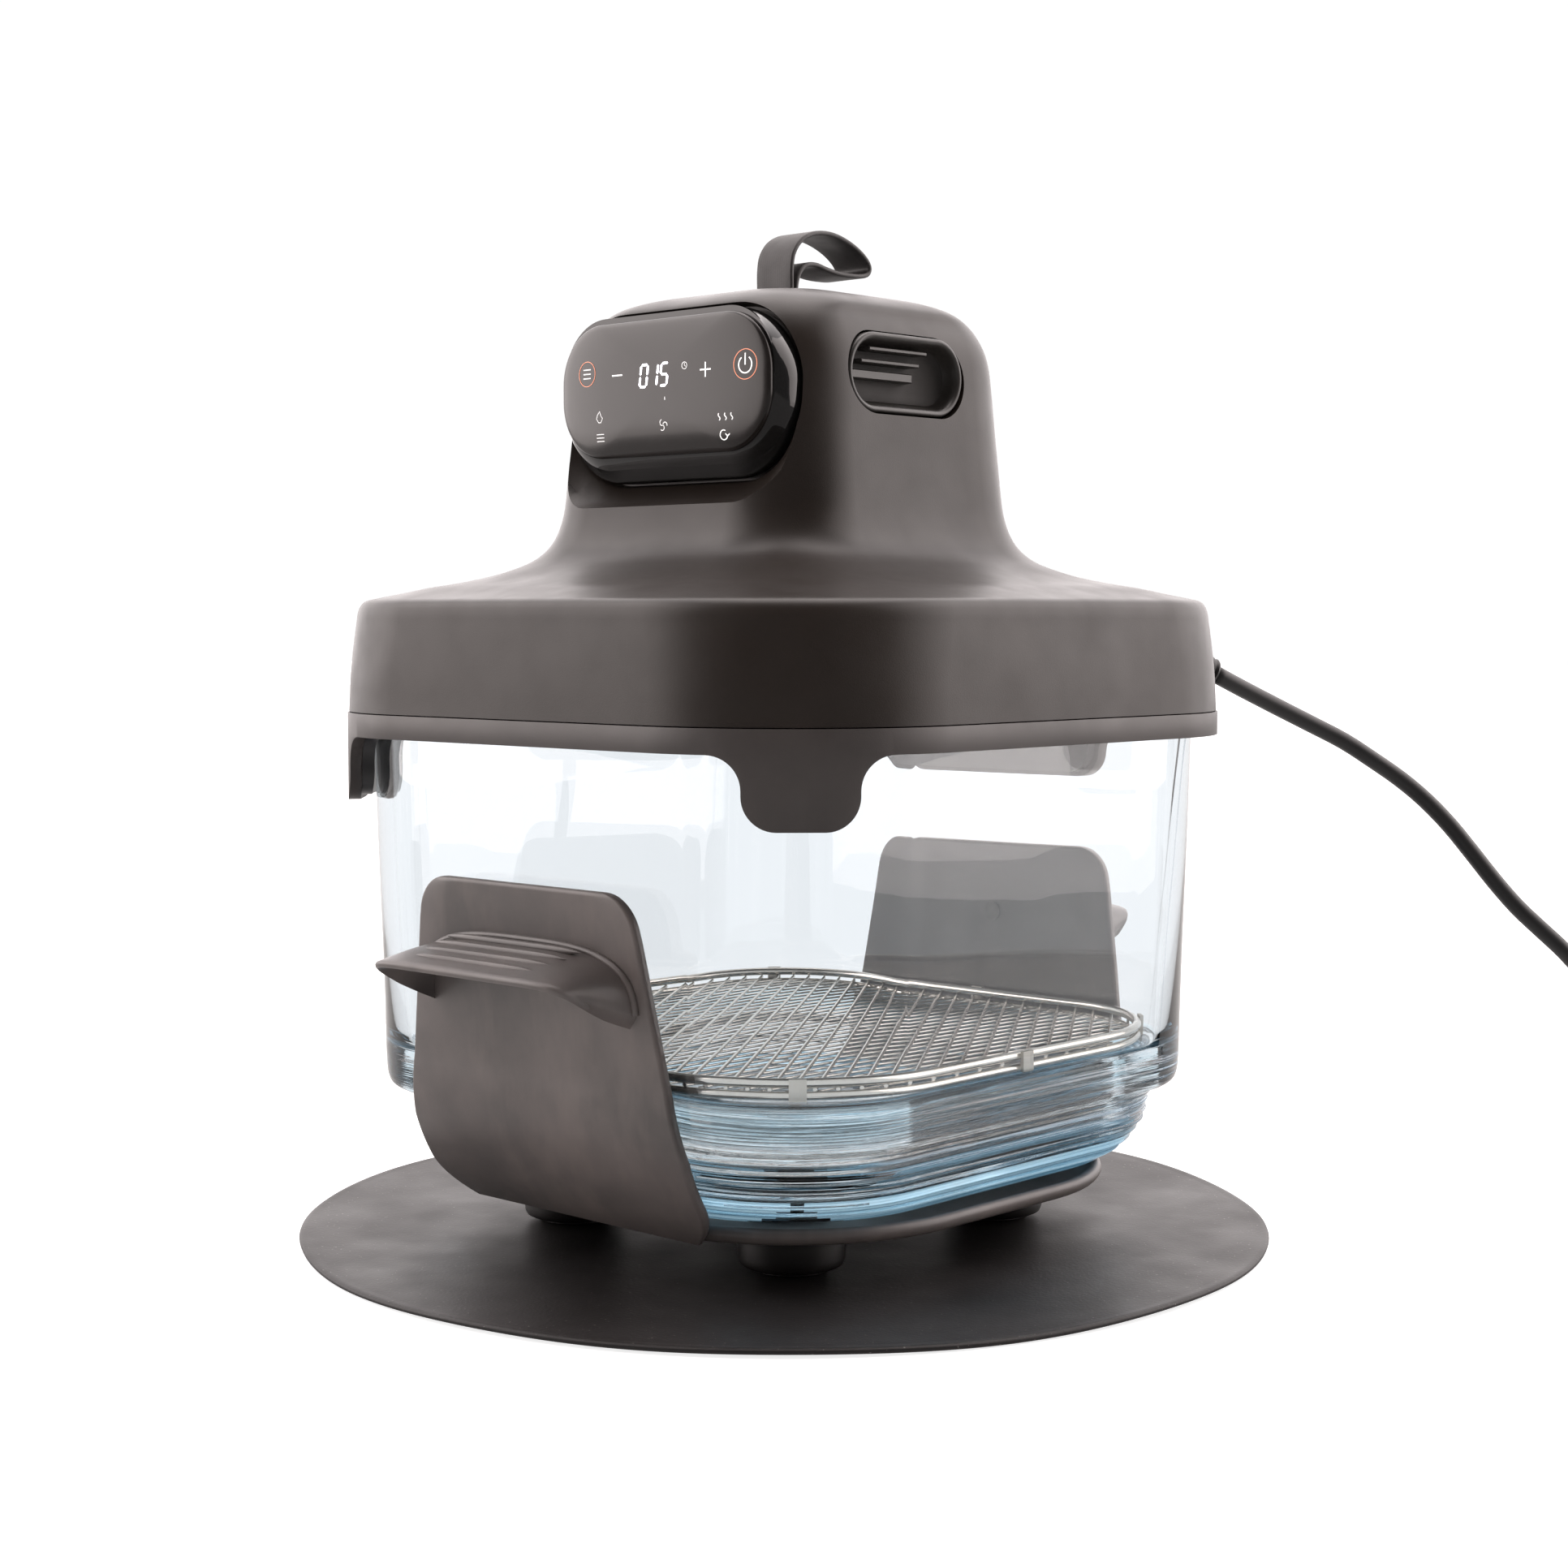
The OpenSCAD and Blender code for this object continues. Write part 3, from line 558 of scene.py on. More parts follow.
M = {
    "head": moulded("head_plastic", (0.0146, 0.0105, 0.0084), 0.38, Specular_IOR_Level=0.33),
    "ring": moulded("ring_plastic", (0.034, 0.0285, 0.0268), 0.44, blotch=0.18),
    "cradle": handled("cradle_silicone", (0.058, 0.0515, 0.0498), 0.39),
    "foot": moulded("foot_rubber", (0.012, 0.011, 0.011), 0.34, blotch=0.2),
    "rubber": moulded("black_rubber", (0.011, 0.011, 0.012), 0.48, blotch=0.2),
    "liner": moulded("tab_silicone", (0.012, 0.012, 0.014), 0.32),
    "gasket": moulded("grey_silicone", (0.03, 0.03, 0.031), 0.5),
    "vent": moulded("vent_plastic", (0.017, 0.015, 0.0135), 0.36),
    # Painted shade: a darker, less glossy copy of the vent plastic for the vent dish.
    "vent_dish_painted_shade": moulded("vent_dish_painted_shade_plastic", (0.014, 0.012, 0.011), 0.55, Specular_IOR_Level=0.2),
    "white": moulded("white_plastic", (0.74, 0.73, 0.68), 0.45),
    "wire": wire_steel(),
    "steel": sheet_metal("bright_steel", (0.6, 0.6, 0.6), 0.28),
    "clip": sheet_metal("clip_steel", (0.62, 0.59, 0.54), 0.42),
    "dark_steel": sheet_metal("dark_steel", (0.09, 0.085, 0.08), 0.45),
    "pan": sheet_metal("pan_metal", (0.62, 0.62, 0.61), 0.34),
    "motor": sheet_metal("zinc_plate", (0.42, 0.42, 0.43), 0.4),
    "bronze": sheet_metal("bronze", (0.62, 0.44, 0.2), 0.32),
    "element": scorched_sheath(),
    "glass": clear_glass(),
    "sole": glass_sole_painted_glow(),
    "mat": mat_rubber(),
    "pod": glossy("pod_black", (0.006, 0.006, 0.006)),
    "lens": glossy("lens_black", (0.0095, 0.0075, 0.0068), 0.2, coat=0.05, Specular_IOR_Level=0.42),
    "loop": strap_rubber(),
    "cord": moulded("cord_pvc", (0.0085, 0.0085, 0.009), 0.42, blotch=0.25),
    "board": circuit_board(),
    "digits": lit("digit_light", (0.93, 0.9, 1.0), 5.0),
    "symbols": lit("symbol_light", (0.85, 0.84, 0.83), 0.62),
    "faint": lit("faint_light", (0.8, 0.8, 0.8), 0.28),
    "amber": lit("amber_light", (0.8, 0.28, 0.16), 0.3),
}
M = {key: finish.material for key, finish in M.items()}


# ---------- mains lead ----------
CORD_D = 6.2
COIL_MID = (235, 229)
COIL_R = 36
COIL_TURNS = 2.35
COIL_START = 117
COIL_TOP = 17.7
# Stretch of the lead from the gland to the coil
CORD_ROUTE = [
    (77, 140, 185), (82, 152, 179), (88, 165, 172.5), (95, 177, 166), (102, 187, 160), (109, 195, 153.3),
    (116, 203, 146.1), (123, 209, 138.4), (130, 214, 129.5), (137, 218, 119.6), (144, 222, 109.4),
    (151, 226, 100.2), (158, 230, 92.6), (166, 234, 84.3), (174, 239, 73.6), (182, 243.5, 61.9),
    (190, 248, 49.6), (198, 252, 38.7), (205.5, 255.5, 30.4), (212, 258.5, 25.2),
]
# The coil's end straightens and rises into the plug
TAIL_L = 24
TAIL_RISE = 5.9


def coil_point(turn):
    """Point of the coil after a number of turns, the lead coming down by its own diameter each turn."""
    angle = math.radians(COIL_START - 360 * turn)
    settling = 4.5 * max(0, 1 - turn / 0.1) ** 2
    z = max(COIL_TOP - CORD_D * turn, CORD_D / 2 + 0.05) + settling
    return (COIL_MID[0] + COIL_R * math.cos(angle), COIL_MID[1] + COIL_R * math.sin(angle), z)


def cord_line():
    per_turn = 28
    count = round(COIL_TURNS * per_turn)
    coil = [coil_point(k / per_turn) for k in range(count)]
    end = coil_point(COIL_TURNS)
    heading = math.radians(COIL_START - 360 * COIL_TURNS - 90)
    tail = []
    for s in (0, TAIL_L / 3, 2 * TAIL_L / 3, TAIL_L):
        x, y = end[0] + s * math.cos(heading), end[1] + s * math.sin(heading)
        tail.append((x, y, end[2] + TAIL_RISE * (s / TAIL_L) ** 2))
    return smooth(CORD_ROUTE + coil + tail, 3)


def line_length(line):
    return sum((Vector(b) - Vector(a)).length for a, b in zip(line, line[1:]))


def make_cord():
    line = cord_line()
    length = line_length(line) * MM
    verts, faces = swept_parts(line, circle_section(CORD_D / 2, 20))
    cord = add_mesh("mains_lead", verts, faces)
    cord.data.shade_smooth()
    cord.data.materials.append(M["cord"])
    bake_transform(cord)
    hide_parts("power_cord", "cord_coil")
    return cord, length, [tuple(c * MM for c in p) for p in line]


def gland_frame(x, y, z):
    """A point in the gland's own frame, where Z runs out along the lead."""
    yaw = math.radians(25)
    tilt = math.radians(-90 - 22)
    turn = Matrix.Rotation(-yaw, 3, "Z") @ Matrix.Rotation(tilt, 3, "X")
    return Vector((66, 116.8, 195.7)) + turn @ Vector((x, y, z))


def make_gland():
    """Tapered strain relief with a collar and rings of flex slots."""
    profile = [(6.4, -8), (6.4, 0), (8.2, 0.4), (8.4, 1.6), (7.6, 2.4), (6.1, 3.2)]
    rib_count = 6
    for k in range(rib_count):
        z = 4.5 + 3.7 * k
        r = 6.0 - 0.22 * k
        profile += [(r, z), (r, z + 2.2), (r - 0.9, z + 2.5), (r - 0.9, z + 3.3)]
    profile += [(4.7, 27.2), (4.3, 28), (3.2, 28.2)]
    verts, faces = lathe_parts(profile, steps=48)
    gland = add_mesh("strain_relief", [tuple(gland_frame(*v)) for v in verts], faces)
    return place(gland, "head", M["cord"], ["cord_gland"])


def plug_point(x, y, z):
    """A point in the plug's frame, where X runs on from the coil's end."""
    angle = math.radians(COIL_START - 360 * COIL_TURNS)
    turn = angle - math.pi / 2
    return (
        COIL_MID[0] + COIL_R * math.cos(angle) + x * math.cos(turn) - y * math.sin(turn),
        COIL_MID[1] + COIL_R * math.sin(angle) + x * math.sin(turn) + y * math.cos(turn),
        z,
    )


def make_plug():
    """Flat two-pin plug: ribbed neck, waisted body with finger hollows and a flange at its face."""
    rows = [
        (14, 3.6, 3.6, 3.5), (16, 4.3, 4.3, 4.2), (18, 3.8, 3.8, 3.7), (20, 4.6, 4.6, 4.5),
        (22, 4.1, 4.1, 4.0), (24, 4.9, 4.9, 4.8), (26, 4.4, 4.4, 4.3), (28, 5.3, 5.2, 5.1),
        (31, 6.8, 5.9, 5.6), (35, 10.2, 7.6, 6), (39, 12, 8.4, 5.5), (43, 11.4, 8.2, 5),
        (47, 10.9, 8.1, 5), (51, 11.3, 8.3, 5), (53, 12.6, 8.8, 5.5), (55, 13, 9, 5.5),
        (57, 13, 9, 5.5), (57.8, 12.6, 8.6, 5.2), (58, 11.8, 7.8, 5),
    ]
    rings = []
    for x, w, h, r in smooth(rows, 2):
        outline = rounded(w, h, min(r, h - 0.05, w - 0.05), steps=8, flat=2)
        rings.append([plug_point(x, a, 9 + b) for a, b in outline])
    plug = loft("plug_moulding", rings)
    return place(plug, "bowl", M["cord"], ["plug_body"], smooth_under=50)


def make_tie():
    """Soft tie wrapped once round the coil's turns."""
    angle = math.radians(45)
    outline = rounded(CORD_D / 2 + 1.1, COIL_TOP / 2 + 2.4, 2.6, steps=8, flat=3)
    rings = []
    for half in (-3, -2.6, 2.6, 3):
        inner = abs(half) > 2.8
        ring = []
        for a, b in outline:
            shrink = 0.9 if inner else 1
            r = COIL_R + a * shrink
            z = COIL_TOP / 2 + 2.45 + b * shrink
            ring.append(
                (
                    COIL_MID[0] + r * math.cos(angle) - half * math.sin(angle),
                    COIL_MID[1] + r * math.sin(angle) + half * math.cos(angle),
                    z,
                )
            )
        rings.append(ring)
    tie = loft("lead_tie", rings)
    return place(tie, "bowl", M["rubber"], ["cord_tie"])


# ---------- stand ----------
FOOT_AT = 50


def make_mat():
    """Round mat with a turned-over edge and a slight wave towards its rim."""
    around = 256
    drawn_r, flat_r, wavy_r = 160, 128, 150
    profile = [
        (0, 0.02), (40, 0.02), (80, 0.02), (110, 0.02), (130, 0.02), (145, 0.02), (155, 0.05),
        (159, 0.1), (159.8, 0.5), (160, 1), (159.8, 1.5), (159.2, 1.92), (158, 2), (156.6, 1.86),
        (155.6, 1.92), (152, 1.97), (145, 1.97), (130, 1.97), (110, 1.97), (95, 1.97), (80, 1.97),
        (60, 1.97), (40, 1.97), (0, 1.97),
    ]
    verts, faces = [], []
    for r, z in profile:
        for k in range(around):
            angle = 2 * math.pi * k / around
            wave = 0.5 + 0.25 * math.sin(5 * angle + 0.7) + 0.25 * math.sin(9 * angle + 2.1)
            lift = 0.9 * wave * max(0, (r - flat_r) / (drawn_r - flat_r)) ** 2
            out = r * MAT_R / drawn_r - (0.35 * wave if r > wavy_r else 0)
            verts.append((out * math.cos(angle), out * math.sin(angle), z + lift))
    for i in range(len(profile) - 1):
        for k in range(around):
            a, b = i * around + k, i * around + (k + 1) % around
            faces.append((a, a + around, b + around, b))
    mat = add_mesh("round_mat", verts, faces)
    return place(mat, "stand", M["mat"], ["heat_mat"], smooth_under=60)


def make_feet():
    foot = [
        (11.9, 4.9), (12.2, 3.6), (13, 3.45), (14.8, 3.5), (16.2, 4.2), (16.8, 5.4), (17, 7),
        (17, 11), (16.9, 14), (17.2, 15.6), (17.8, 16.6), (18, 17), (5, 17),
    ]
    pad = [(4, MAT_T + 0.02), (11.2, MAT_T + 0.02), (11.8, MAT_T + 0.4), (11.8, 4.4), (4, 4.4)]
    for name, profile, key, slot, node in (
        ("foot_cups", foot, "foot", "cradle_plastic", "feet"),
        ("foot_soles", pad, "rubber", "rubber", "foot_pads"),
    ):
        parts = [lathe_parts(profile, (sx * FOOT_AT, sy * FOOT_AT), 72) for sx in (-1, 1) for sy in (-1, 1)]
        place(joined(name, parts), "stand", M[key], [node], smooth_under=40)


STRAP_BEND = 66.9
STRAP_MID = (45.4, 65)
STRAP_LEAN = 5.2
STRAP_CORNER = 14
PLATE_T = 3.5
PLATE_HALF_W = 49.5
PLATE_TAPER_TOP = 112
STRAP_HALF_W = 62
STRAP_WIDEST_Z = (30, 45)
TRAY_TRIM = 1.8


def lean_y(z):
    return STRAP_MID[0] + STRAP_BEND + STRAP_LEAN * (z - STRAP_MID[1]) / (PLATE_TOP - STRAP_MID[1])


def strap_half_w(z):
    """Widest just above the tray, narrower down to it and up to the plate, with rounded top corners."""
    if z < STRAP_WIDEST_Z[1]:
        full = STRAP_HALF_W - 0.06 * max(0, STRAP_WIDEST_Z[0] - z) ** 2
    else:
        full = PLATE_HALF_W + 0.185 * max(0, PLATE_TAPER_TOP - z)
    rise = max(0, z - (PLATE_TOP - STRAP_CORNER))
    return full - (STRAP_CORNER - math.sqrt(max(0, STRAP_CORNER**2 - rise**2)))


def strap_rings():
    """Cross sections of a handle plate from the tray up to its rounded top, for the rear plate."""
    stations = []
    for k in range(24):
        a = math.radians(-46 + 2 * k)
        y = STRAP_MID[0] + STRAP_BEND * math.cos(a)
        z = STRAP_MID[1] + STRAP_BEND * math.sin(a)
        stations.append((y, z, a))
    straight = PLATE_TOP - STRAP_CORNER
    for k in range(1, 13):
        z = STRAP_MID[1] + (straight - STRAP_MID[1]) * k / 12
        stations.append((lean_y(z), z, 0.0))
    for k in range(1, 25):
        z = straight + STRAP_CORNER * math.sin(math.radians(90 * k / 24))
        stations.append((lean_y(z), z, 0.0))
    rings = []
    edge_r = 1.3
    for y, z, a in stations:
        w = strap_half_w(z)
        to_top = max(0.0, z - (PLATE_TOP - edge_r)) / edge_r
        thick = PLATE_T / 2 * (0.3 + 0.7 * math.sqrt(max(0, 1 - to_top**2)))
        edge = min(edge_r, thick * 0.8)
        ring = []
        for x, out in rounded(w, thick, edge, steps=5, flat=6):
            depth = out - PLATE_T / 2
            ring.append((x, y + depth * math.cos(a), z + depth * math.sin(a)))
        rings.append(ring)
    return rings


def turned(parts):
    """The same part turned half round, for the front."""
    verts, faces = parts
    return [(-x, -y, z) for x, y, z in verts], faces


def make_cradle():
    tray_rows = [
        (70, 46, 17.02), (83, 55, 17.02), (90, 61.5, 17.1), (93.4, 63.8, 17.5), (95.1, 65.2, 18.5),
        (96, 66, 20.2), (95.7, 66, 21.8), (94.9, 65.3, 22.6), (93.9, 64.5, 22.75), (92.6, 63.6, 22.2),
        (91.4, 62.6, 21), (89.6, 61.4, 20.3), (86, 58, 20.2), (70, 46, 20.2),
    ]
    tray_rings = []
    for half, r, z in smooth(tray_rows, 2):
        tray_rings.append([(x, y, z) for x, y in rounded(half, half - TRAY_TRIM, r)])
    tray = loft_parts(tray_rings)
    strap = loft_parts(strap_rings())
    cradle = joined("cradle_moulding", [tray, strap, turned(strap)])
    place(cradle, "stand", M["cradle"], ["cradle"], smooth_under=40)


GRIP_HALF_L = 44
GRIP_ROOT_Y = 114.6
GRIP_REACH = 27
GRIP_T = 3
GRIP_FOOT_Z = 85
GRIP_ROOT_RISE = 22
GRIP_LIP_RISE = 15
GRIP_ROUND = 0.62


def arch(x, power):
    """A signed power, which squares up the arch that a sine or cosine draws."""
    return math.copysign(abs(x) ** power, x)


def grip_row(a):
    """Section of a grip at angle a across it, from its root over the lip and back underneath."""
    s = arch(math.sin(a), GRIP_ROUND)
    c = max(math.cos(a), 0) ** GRIP_ROUND
    e = max(math.cos(a), 0) ** 0.2
    x1, z1 = (GRIP_HALF_L + 4) * s, GRIP_FOOT_Z + GRIP_ROOT_RISE * c
    x2, z2 = GRIP_HALF_L * arch(math.sin(a), 0.25), GRIP_FOOT_Z + GRIP_LIP_RISE * e
    y2 = GRIP_ROOT_Y + 1 + GRIP_REACH * e
    y1 = lean_y(z1)
    xm, ym, zm = (x1 + x2) / 2, (GRIP_ROOT_Y + y2) / 2, (z1 + z2) / 2
    over = [(x1, y1, z1), (xm, ym, zm + 0.8 * c), (x2, y2 - 0.5 * e, z2)]
    lip = [(x2 * 1.003, y2, z2 - 0.7), (x2, y2 - 0.1, z2 - 1.5), (x2 * 0.99, y2 - 0.6 * e, z2 - 2.1)]
    under = [
        (xm * (1 - GRIP_T / 45), ym, zm - GRIP_T),
        (x1 * (1 - GRIP_T / 45), lean_y(z1 - GRIP_T - 0.6), z1 - GRIP_T - 0.6),
    ]
    top = smooth(over, 5)
    bottom = smooth([lip[-1]] + under, 5)
    return top + lip[:2] + bottom


def grip_parts():
    rings = [grip_row(math.radians(88 - 2 * k)) for k in range(89)]
    parts = [loft_parts(rings)]
    rib_half_l = 31
    rib_r = 1.35
    for k in range(4):
        y = GRIP_ROOT_Y + 6 + 5 * k
        z = 106.9 - 1.52 * k
        rib = []
        for j in range(-12, 13):
            share = j / 12
            full = max(0.02, 1 - abs(share) ** 6)
            x = share * (rib_half_l - 0.8 * k)
            ring = []
            for i in range(12):
                b = math.radians(30 * i)
                out, up = (rib_r * full * arch(value, 0.6) for value in (math.cos(b), math.sin(b)))
                ring.append((x, y + out, z - 0.8 + up))
            rib.append(ring)
        parts.append(loft_parts(rib))
    bead = []
    for k in range(-44, 45):
        a = math.radians(2 * k * 0.99)
        s = arch(math.sin(a), GRIP_ROUND)
        z = GRIP_FOOT_Z + GRIP_ROOT_RISE * max(math.cos(a), 0) ** GRIP_ROUND
        bead.append(((GRIP_HALF_L + 4.2) * s, lean_y(z) + 0.5, z + 0.2))
    parts.append(swept_parts(bead, circle_section(1.15, 10)))
    return parts


def make_grips():
    parts = grip_parts()
    rear = joined("rear_grip_moulding", parts)
    place(rear, "stand", M["cradle"], ["rear_grip"], smooth_under=50)
    front = joined("front_grip_moulding", [turned(part) for part in parts])
    place(front, "stand", M["cradle"], ["front_grip"], smooth_under=50)


# ---------- bowl ----------
# The sole finish, with its painted glow, is on the outer faces below SOLE_TOP and outside SOLE_IN that
# don't look up
SOLE_TOP = 33.5
SOLE_IN = 84
SOLE_TILT = 0.2


def make_bowl():
    """Pressed glass bowl: plain walls, a rack ledge and a thick ribbed foot."""
    ledge = low("rack_lower_ring").z - 0.3
    outside = [
        (60, 40, 23.2), (80, 50, 23), (86.5, 50, 23.8), (92, 50, 26), (96, 49, 29.5), (98.4, 49, 33.5),
        (100.3, 48, 38), (101, 48, 43), (101.6, 47.6, 46.4), (102.6, 47, 48.2), (105.6, 45.4, 49.8),
        (106.8, 44.6, 52), (107.2, 44, 58), (107.7, 44.8, 76), (108.5, 46, 100), (109.6, 47, 134),
        (110.5, 48, BOWL_TOP - 1.8), (110.4, 48, BOWL_TOP - 0.7), (109.4, 47, BOWL_TOP - 0.05),
    ]
    inside = [
        (106.4, 44, BOWL_TOP - 0.05), (105.6, 43.2, BOWL_TOP - 0.7), (105.3, 43, BOWL_TOP - 1.8),
        (104.6, 43, 120), (103.4, 43, 76), (103, 43, ledge + 4), (102.3, 43, ledge + 0.9),
        (101, 44, ledge), (98, 47, ledge), (96.4, 48, ledge - 0.2), (95.2, 48, ledge - 1.6),
        (94.5, 47, 51), (92.5, 46, 42), (88, 44, 36.4), (80, 42, 33.7), (70, 38, 33), (50, 20, 33),
    ]
    rows = ribbed(smooth(outside, 6), 25, 48, 3.1, 0.8)
    rows += ribbed(smooth(inside, 6), 36, 60, 3.9, -0.5)
    bowl = loft("glass_walls", [level(*row) for row in rows])
    place(bowl, "bowl", M["glass"], ["glass_bowl"], smooth_under=60)
    bowl.data.materials.append(M["sole"])
    for face in bowl.data.polygons:
        middle = face.center / MM
        outside_flat = max(abs(middle.x), abs(middle.y)) > SOLE_IN
        if middle.z < SOLE_TOP and outside_flat and face.normal.z < SOLE_TILT:
            face.material_index = 1


def ribbed(rows, z0, z1, pitch, depth):
    """Rows with shallow rounded ribs between two heights."""
    changed = []
    for half, r, z in rows:
        inside = min(max((z - z0) / 2, 0), 1) * min(max((z1 - z) / 2, 0), 1)
        wave = depth * inside * 0.5 * (1 - math.cos(2 * math.pi * (z - z0) / pitch))
        changed.append((half - wave, r, z))
    return changed


# ---------- head casings ----------
HEAD_T = 2.5
BAND = [
    (0, 61, 0), (-0.15, 61.1, 5), (-0.3, 61.2, 10.1), (-0.6, 61.7, 17), (-1, 62.5, 24.1), (-1.3, 63.2, 29),
    (-1.5, 63.6, 32.1), (-2.2, 63.6, 34.5), (-4, 62, 36.1),
]
BELL = [
    (134, 211), (127, 212.4), (118, 214.3), (108, 215.9), (98, 218), (90, 220.4), (84, 222.9),
    (79.6, 226), (76.4, 230), (74.2, 235), (72.8, 241), (71.6, 252), (70.4, 264), (69.2, 277),
    (68.2, 286), (66.8, 291.5), (64.6, 296), (62, 299.6), (58.4, 302.8), (53.6, 305.3), (47, 307.2),
    (38, 308.8), (26, 310), (12, 310.8),
]
RECESS = [
    (50.5, 27, 25, 274.5, 44), (51.2, 27.4, 25.4, 274.5, 46), (52, 28, 25, 274.4, 48.5),
    (54.5, 30.5, 23, 272.8, 53), (58, 34.5, 21.5, 270.3, 72),
]


def bell_row(d, z):
    """The corners tighten as the bell closes to the tower; d is the half diagonal."""
    r = 28 + (d - 72) * 0.5 if d > 60 else d * 0.45
    return ((d + (math.sqrt(2) - 1) * r) / math.sqrt(2), r, z)


def head_rows():
    rows = [(HEAD_HALF + half, r, SEAM_Z + z) for half, r, z in BAND]
    return smooth(rows + [bell_row(d, z) for d, z in BELL], 3)


def recess_rows(grow, back):
    return [(w + grow, h + grow, r + grow, z, d - back) for w, h, r, z, d in RECESS]


def stadium(half_l, half_h, steps=20):
    return rounded(half_l, half_h, half_h - 0.01, steps, 4)


def side_rings(outlines):
    """Rings upright in the Y-Z plane from (x, outline) pairs, about the vent's middle."""
    return [[(x, VENT_MID.y + a, VENT_MID.z + b) for a, b in outline] for x, outline in outlines]


def mirrored(rings):
    return [[(-x, y, z) for x, y, z in ring] for ring in rings]


VENT_HALF_L = 28.2
VENT_HALF_H = 13.1


def make_head():
    """Thin casing, closed towards its crown, with the panel recess, vents, loop slot and lead hole."""
    shoulder_z, crown_half = 209, 16
    rows = head_rows()
    shell = loft("head_casing", [level(*row) for row in rows])
    inner = [(HEAD_HALF - HEAD_T, 58.5, SEAM_Z - 1)]
    for half, r, z in rows:
        if half > crown_half:
            drop = HEAD_T if z > shoulder_z else 0
            inner.append((half - HEAD_T, max(r - HEAD_T, 2), z - drop))
    kept = [inner[0]]
    for row in inner[1:]:
        if row[2] > kept[-1][2] + 0.05:
            kept.append(row)
    cavity = loft("cavity", [level(*row) for row in kept])
    pocket = loft("pocket", [upright(*row) for row in recess_rows(HEAD_T, HEAD_T)])
    cut(cavity, pocket)
    cut(shell, cavity)
    cut(shell, loft("recess", [upright(*row) for row in recess_rows(0, 0)]))
    hole = side_rings([(46, stadium(VENT_HALF_L, VENT_HALF_H)), (70, stadium(VENT_HALF_L, VENT_HALF_H))])
    cut(shell, loft("vent_hole", hole))
    cut(shell, loft("vent_hole", mirrored(hole)))
    slot_outline = ((-8.3, -5.4), (-8.3, -1.2), (8.3, -1.2), (8.3, -5.4))
    slot = [[(x, y, z) for x, y in slot_outline] for z in (300, 316)]
    cut(shell, loft("loop_slot", slot))
    collar = [[tuple(gland_frame(a, b, z)) for a, b in circle_section(7, 32)] for z in (-12, 8)]
    cut(shell, loft("gland_hole", collar))
    place(shell, "head", M["head"], ["head_shell"], smooth_under=28)


def tab_outline(w, drop, r, steps=12):
    """Lower edge of a tab as (distance along the ring, height below it), from one side to the other."""
    half = []
    for k in range(steps + 1):
        a = math.radians(90 * k / steps)
        half.append((-(w + r) + r * math.sin(a), -r + r * math.cos(a)))
    for k in range(steps + 1):
        a = math.radians(90 * k / steps)
        half.append((-(w - r) - r * math.cos(a), -(drop - r) - r * math.sin(a)))
    return half + [(-t, z) for t, z in reversed(half)]


def ring_stations():
    """Points round the ring: (outer point, inner tab point, inner ring point, height of the lower edge)."""
    outer_r, tab_r, inner_r = 61.2, 54, 49.6
    outer_c, tab_c, inner_c = RING_HALF - outer_r, 115.5 - tab_r, 112.4 - inner_r
    stations = []
    for q in range(4):
        turn = 90 * q
        tab = tab_outline(17, 21.5, 10) if q in (2, 3) else []
        edges = [(math.degrees(math.asin(t / outer_r)), z) for t, z in tab]
        if edges:
            first = edges[0][0]
            plain = [-45 + k * (first + 45) / 10 for k in range(10)]
            corner = [(a, 0) for a in plain] + edges + [(-a, 0) for a in reversed(plain)]
        else:
            corner = [(-45 + k * 2.5, 0) for k in range(37)]
        for a, z in corner:
            angle = math.radians(45 + a)
            points = []
            for c, r in ((outer_c, outer_r), (tab_c, tab_r), (inner_c, inner_r)):
                points.append(spin(c + r * math.cos(angle), c + r * math.sin(angle), turn))
            stations.append((*points, z))
        reach = outer_c - 1
        flat = [(4 * k - reach, 0) for k in range(int(reach / 2) + 1)]
        if q == 0:
            flat = tab_outline(44, 17, 9)
        for t, z in flat:
            points = []
            for c, r in ((outer_c, outer_r), (tab_c, tab_r), (inner_c, inner_r)):
                share = min(max(-t, -c), c)
                points.append(spin(share, c + r, turn))
            stations.append((*points, z))
    return stations


def spin(x, y, degrees):
    a = math.radians(degrees)
    return (x * math.cos(a) - y * math.sin(a), x * math.sin(a) + y * math.cos(a))


def make_ring():
    """Ring under the seam, with its two front corner tabs and wide rear tab, in one moulding."""
    rings = []
    gap = 0.35
    top = SEAM_Z - gap
    for outer, tab, inner, drop in ring_stations():
        z = RING_Z + drop
        ring = [(*outer, top), (*outer, RING_Z), (*outer, z), (*tab, z), (*tab, RING_Z)]
        rings.append(ring + [(*inner, RING_Z), (*inner, top)])
    ring = loft("rim_moulding", rings, ends=False, round_trip=True)
    round_edges(ring, 0.5)
    place(ring, "head", M["ring"], ["rim_ring"], smooth_under=35)


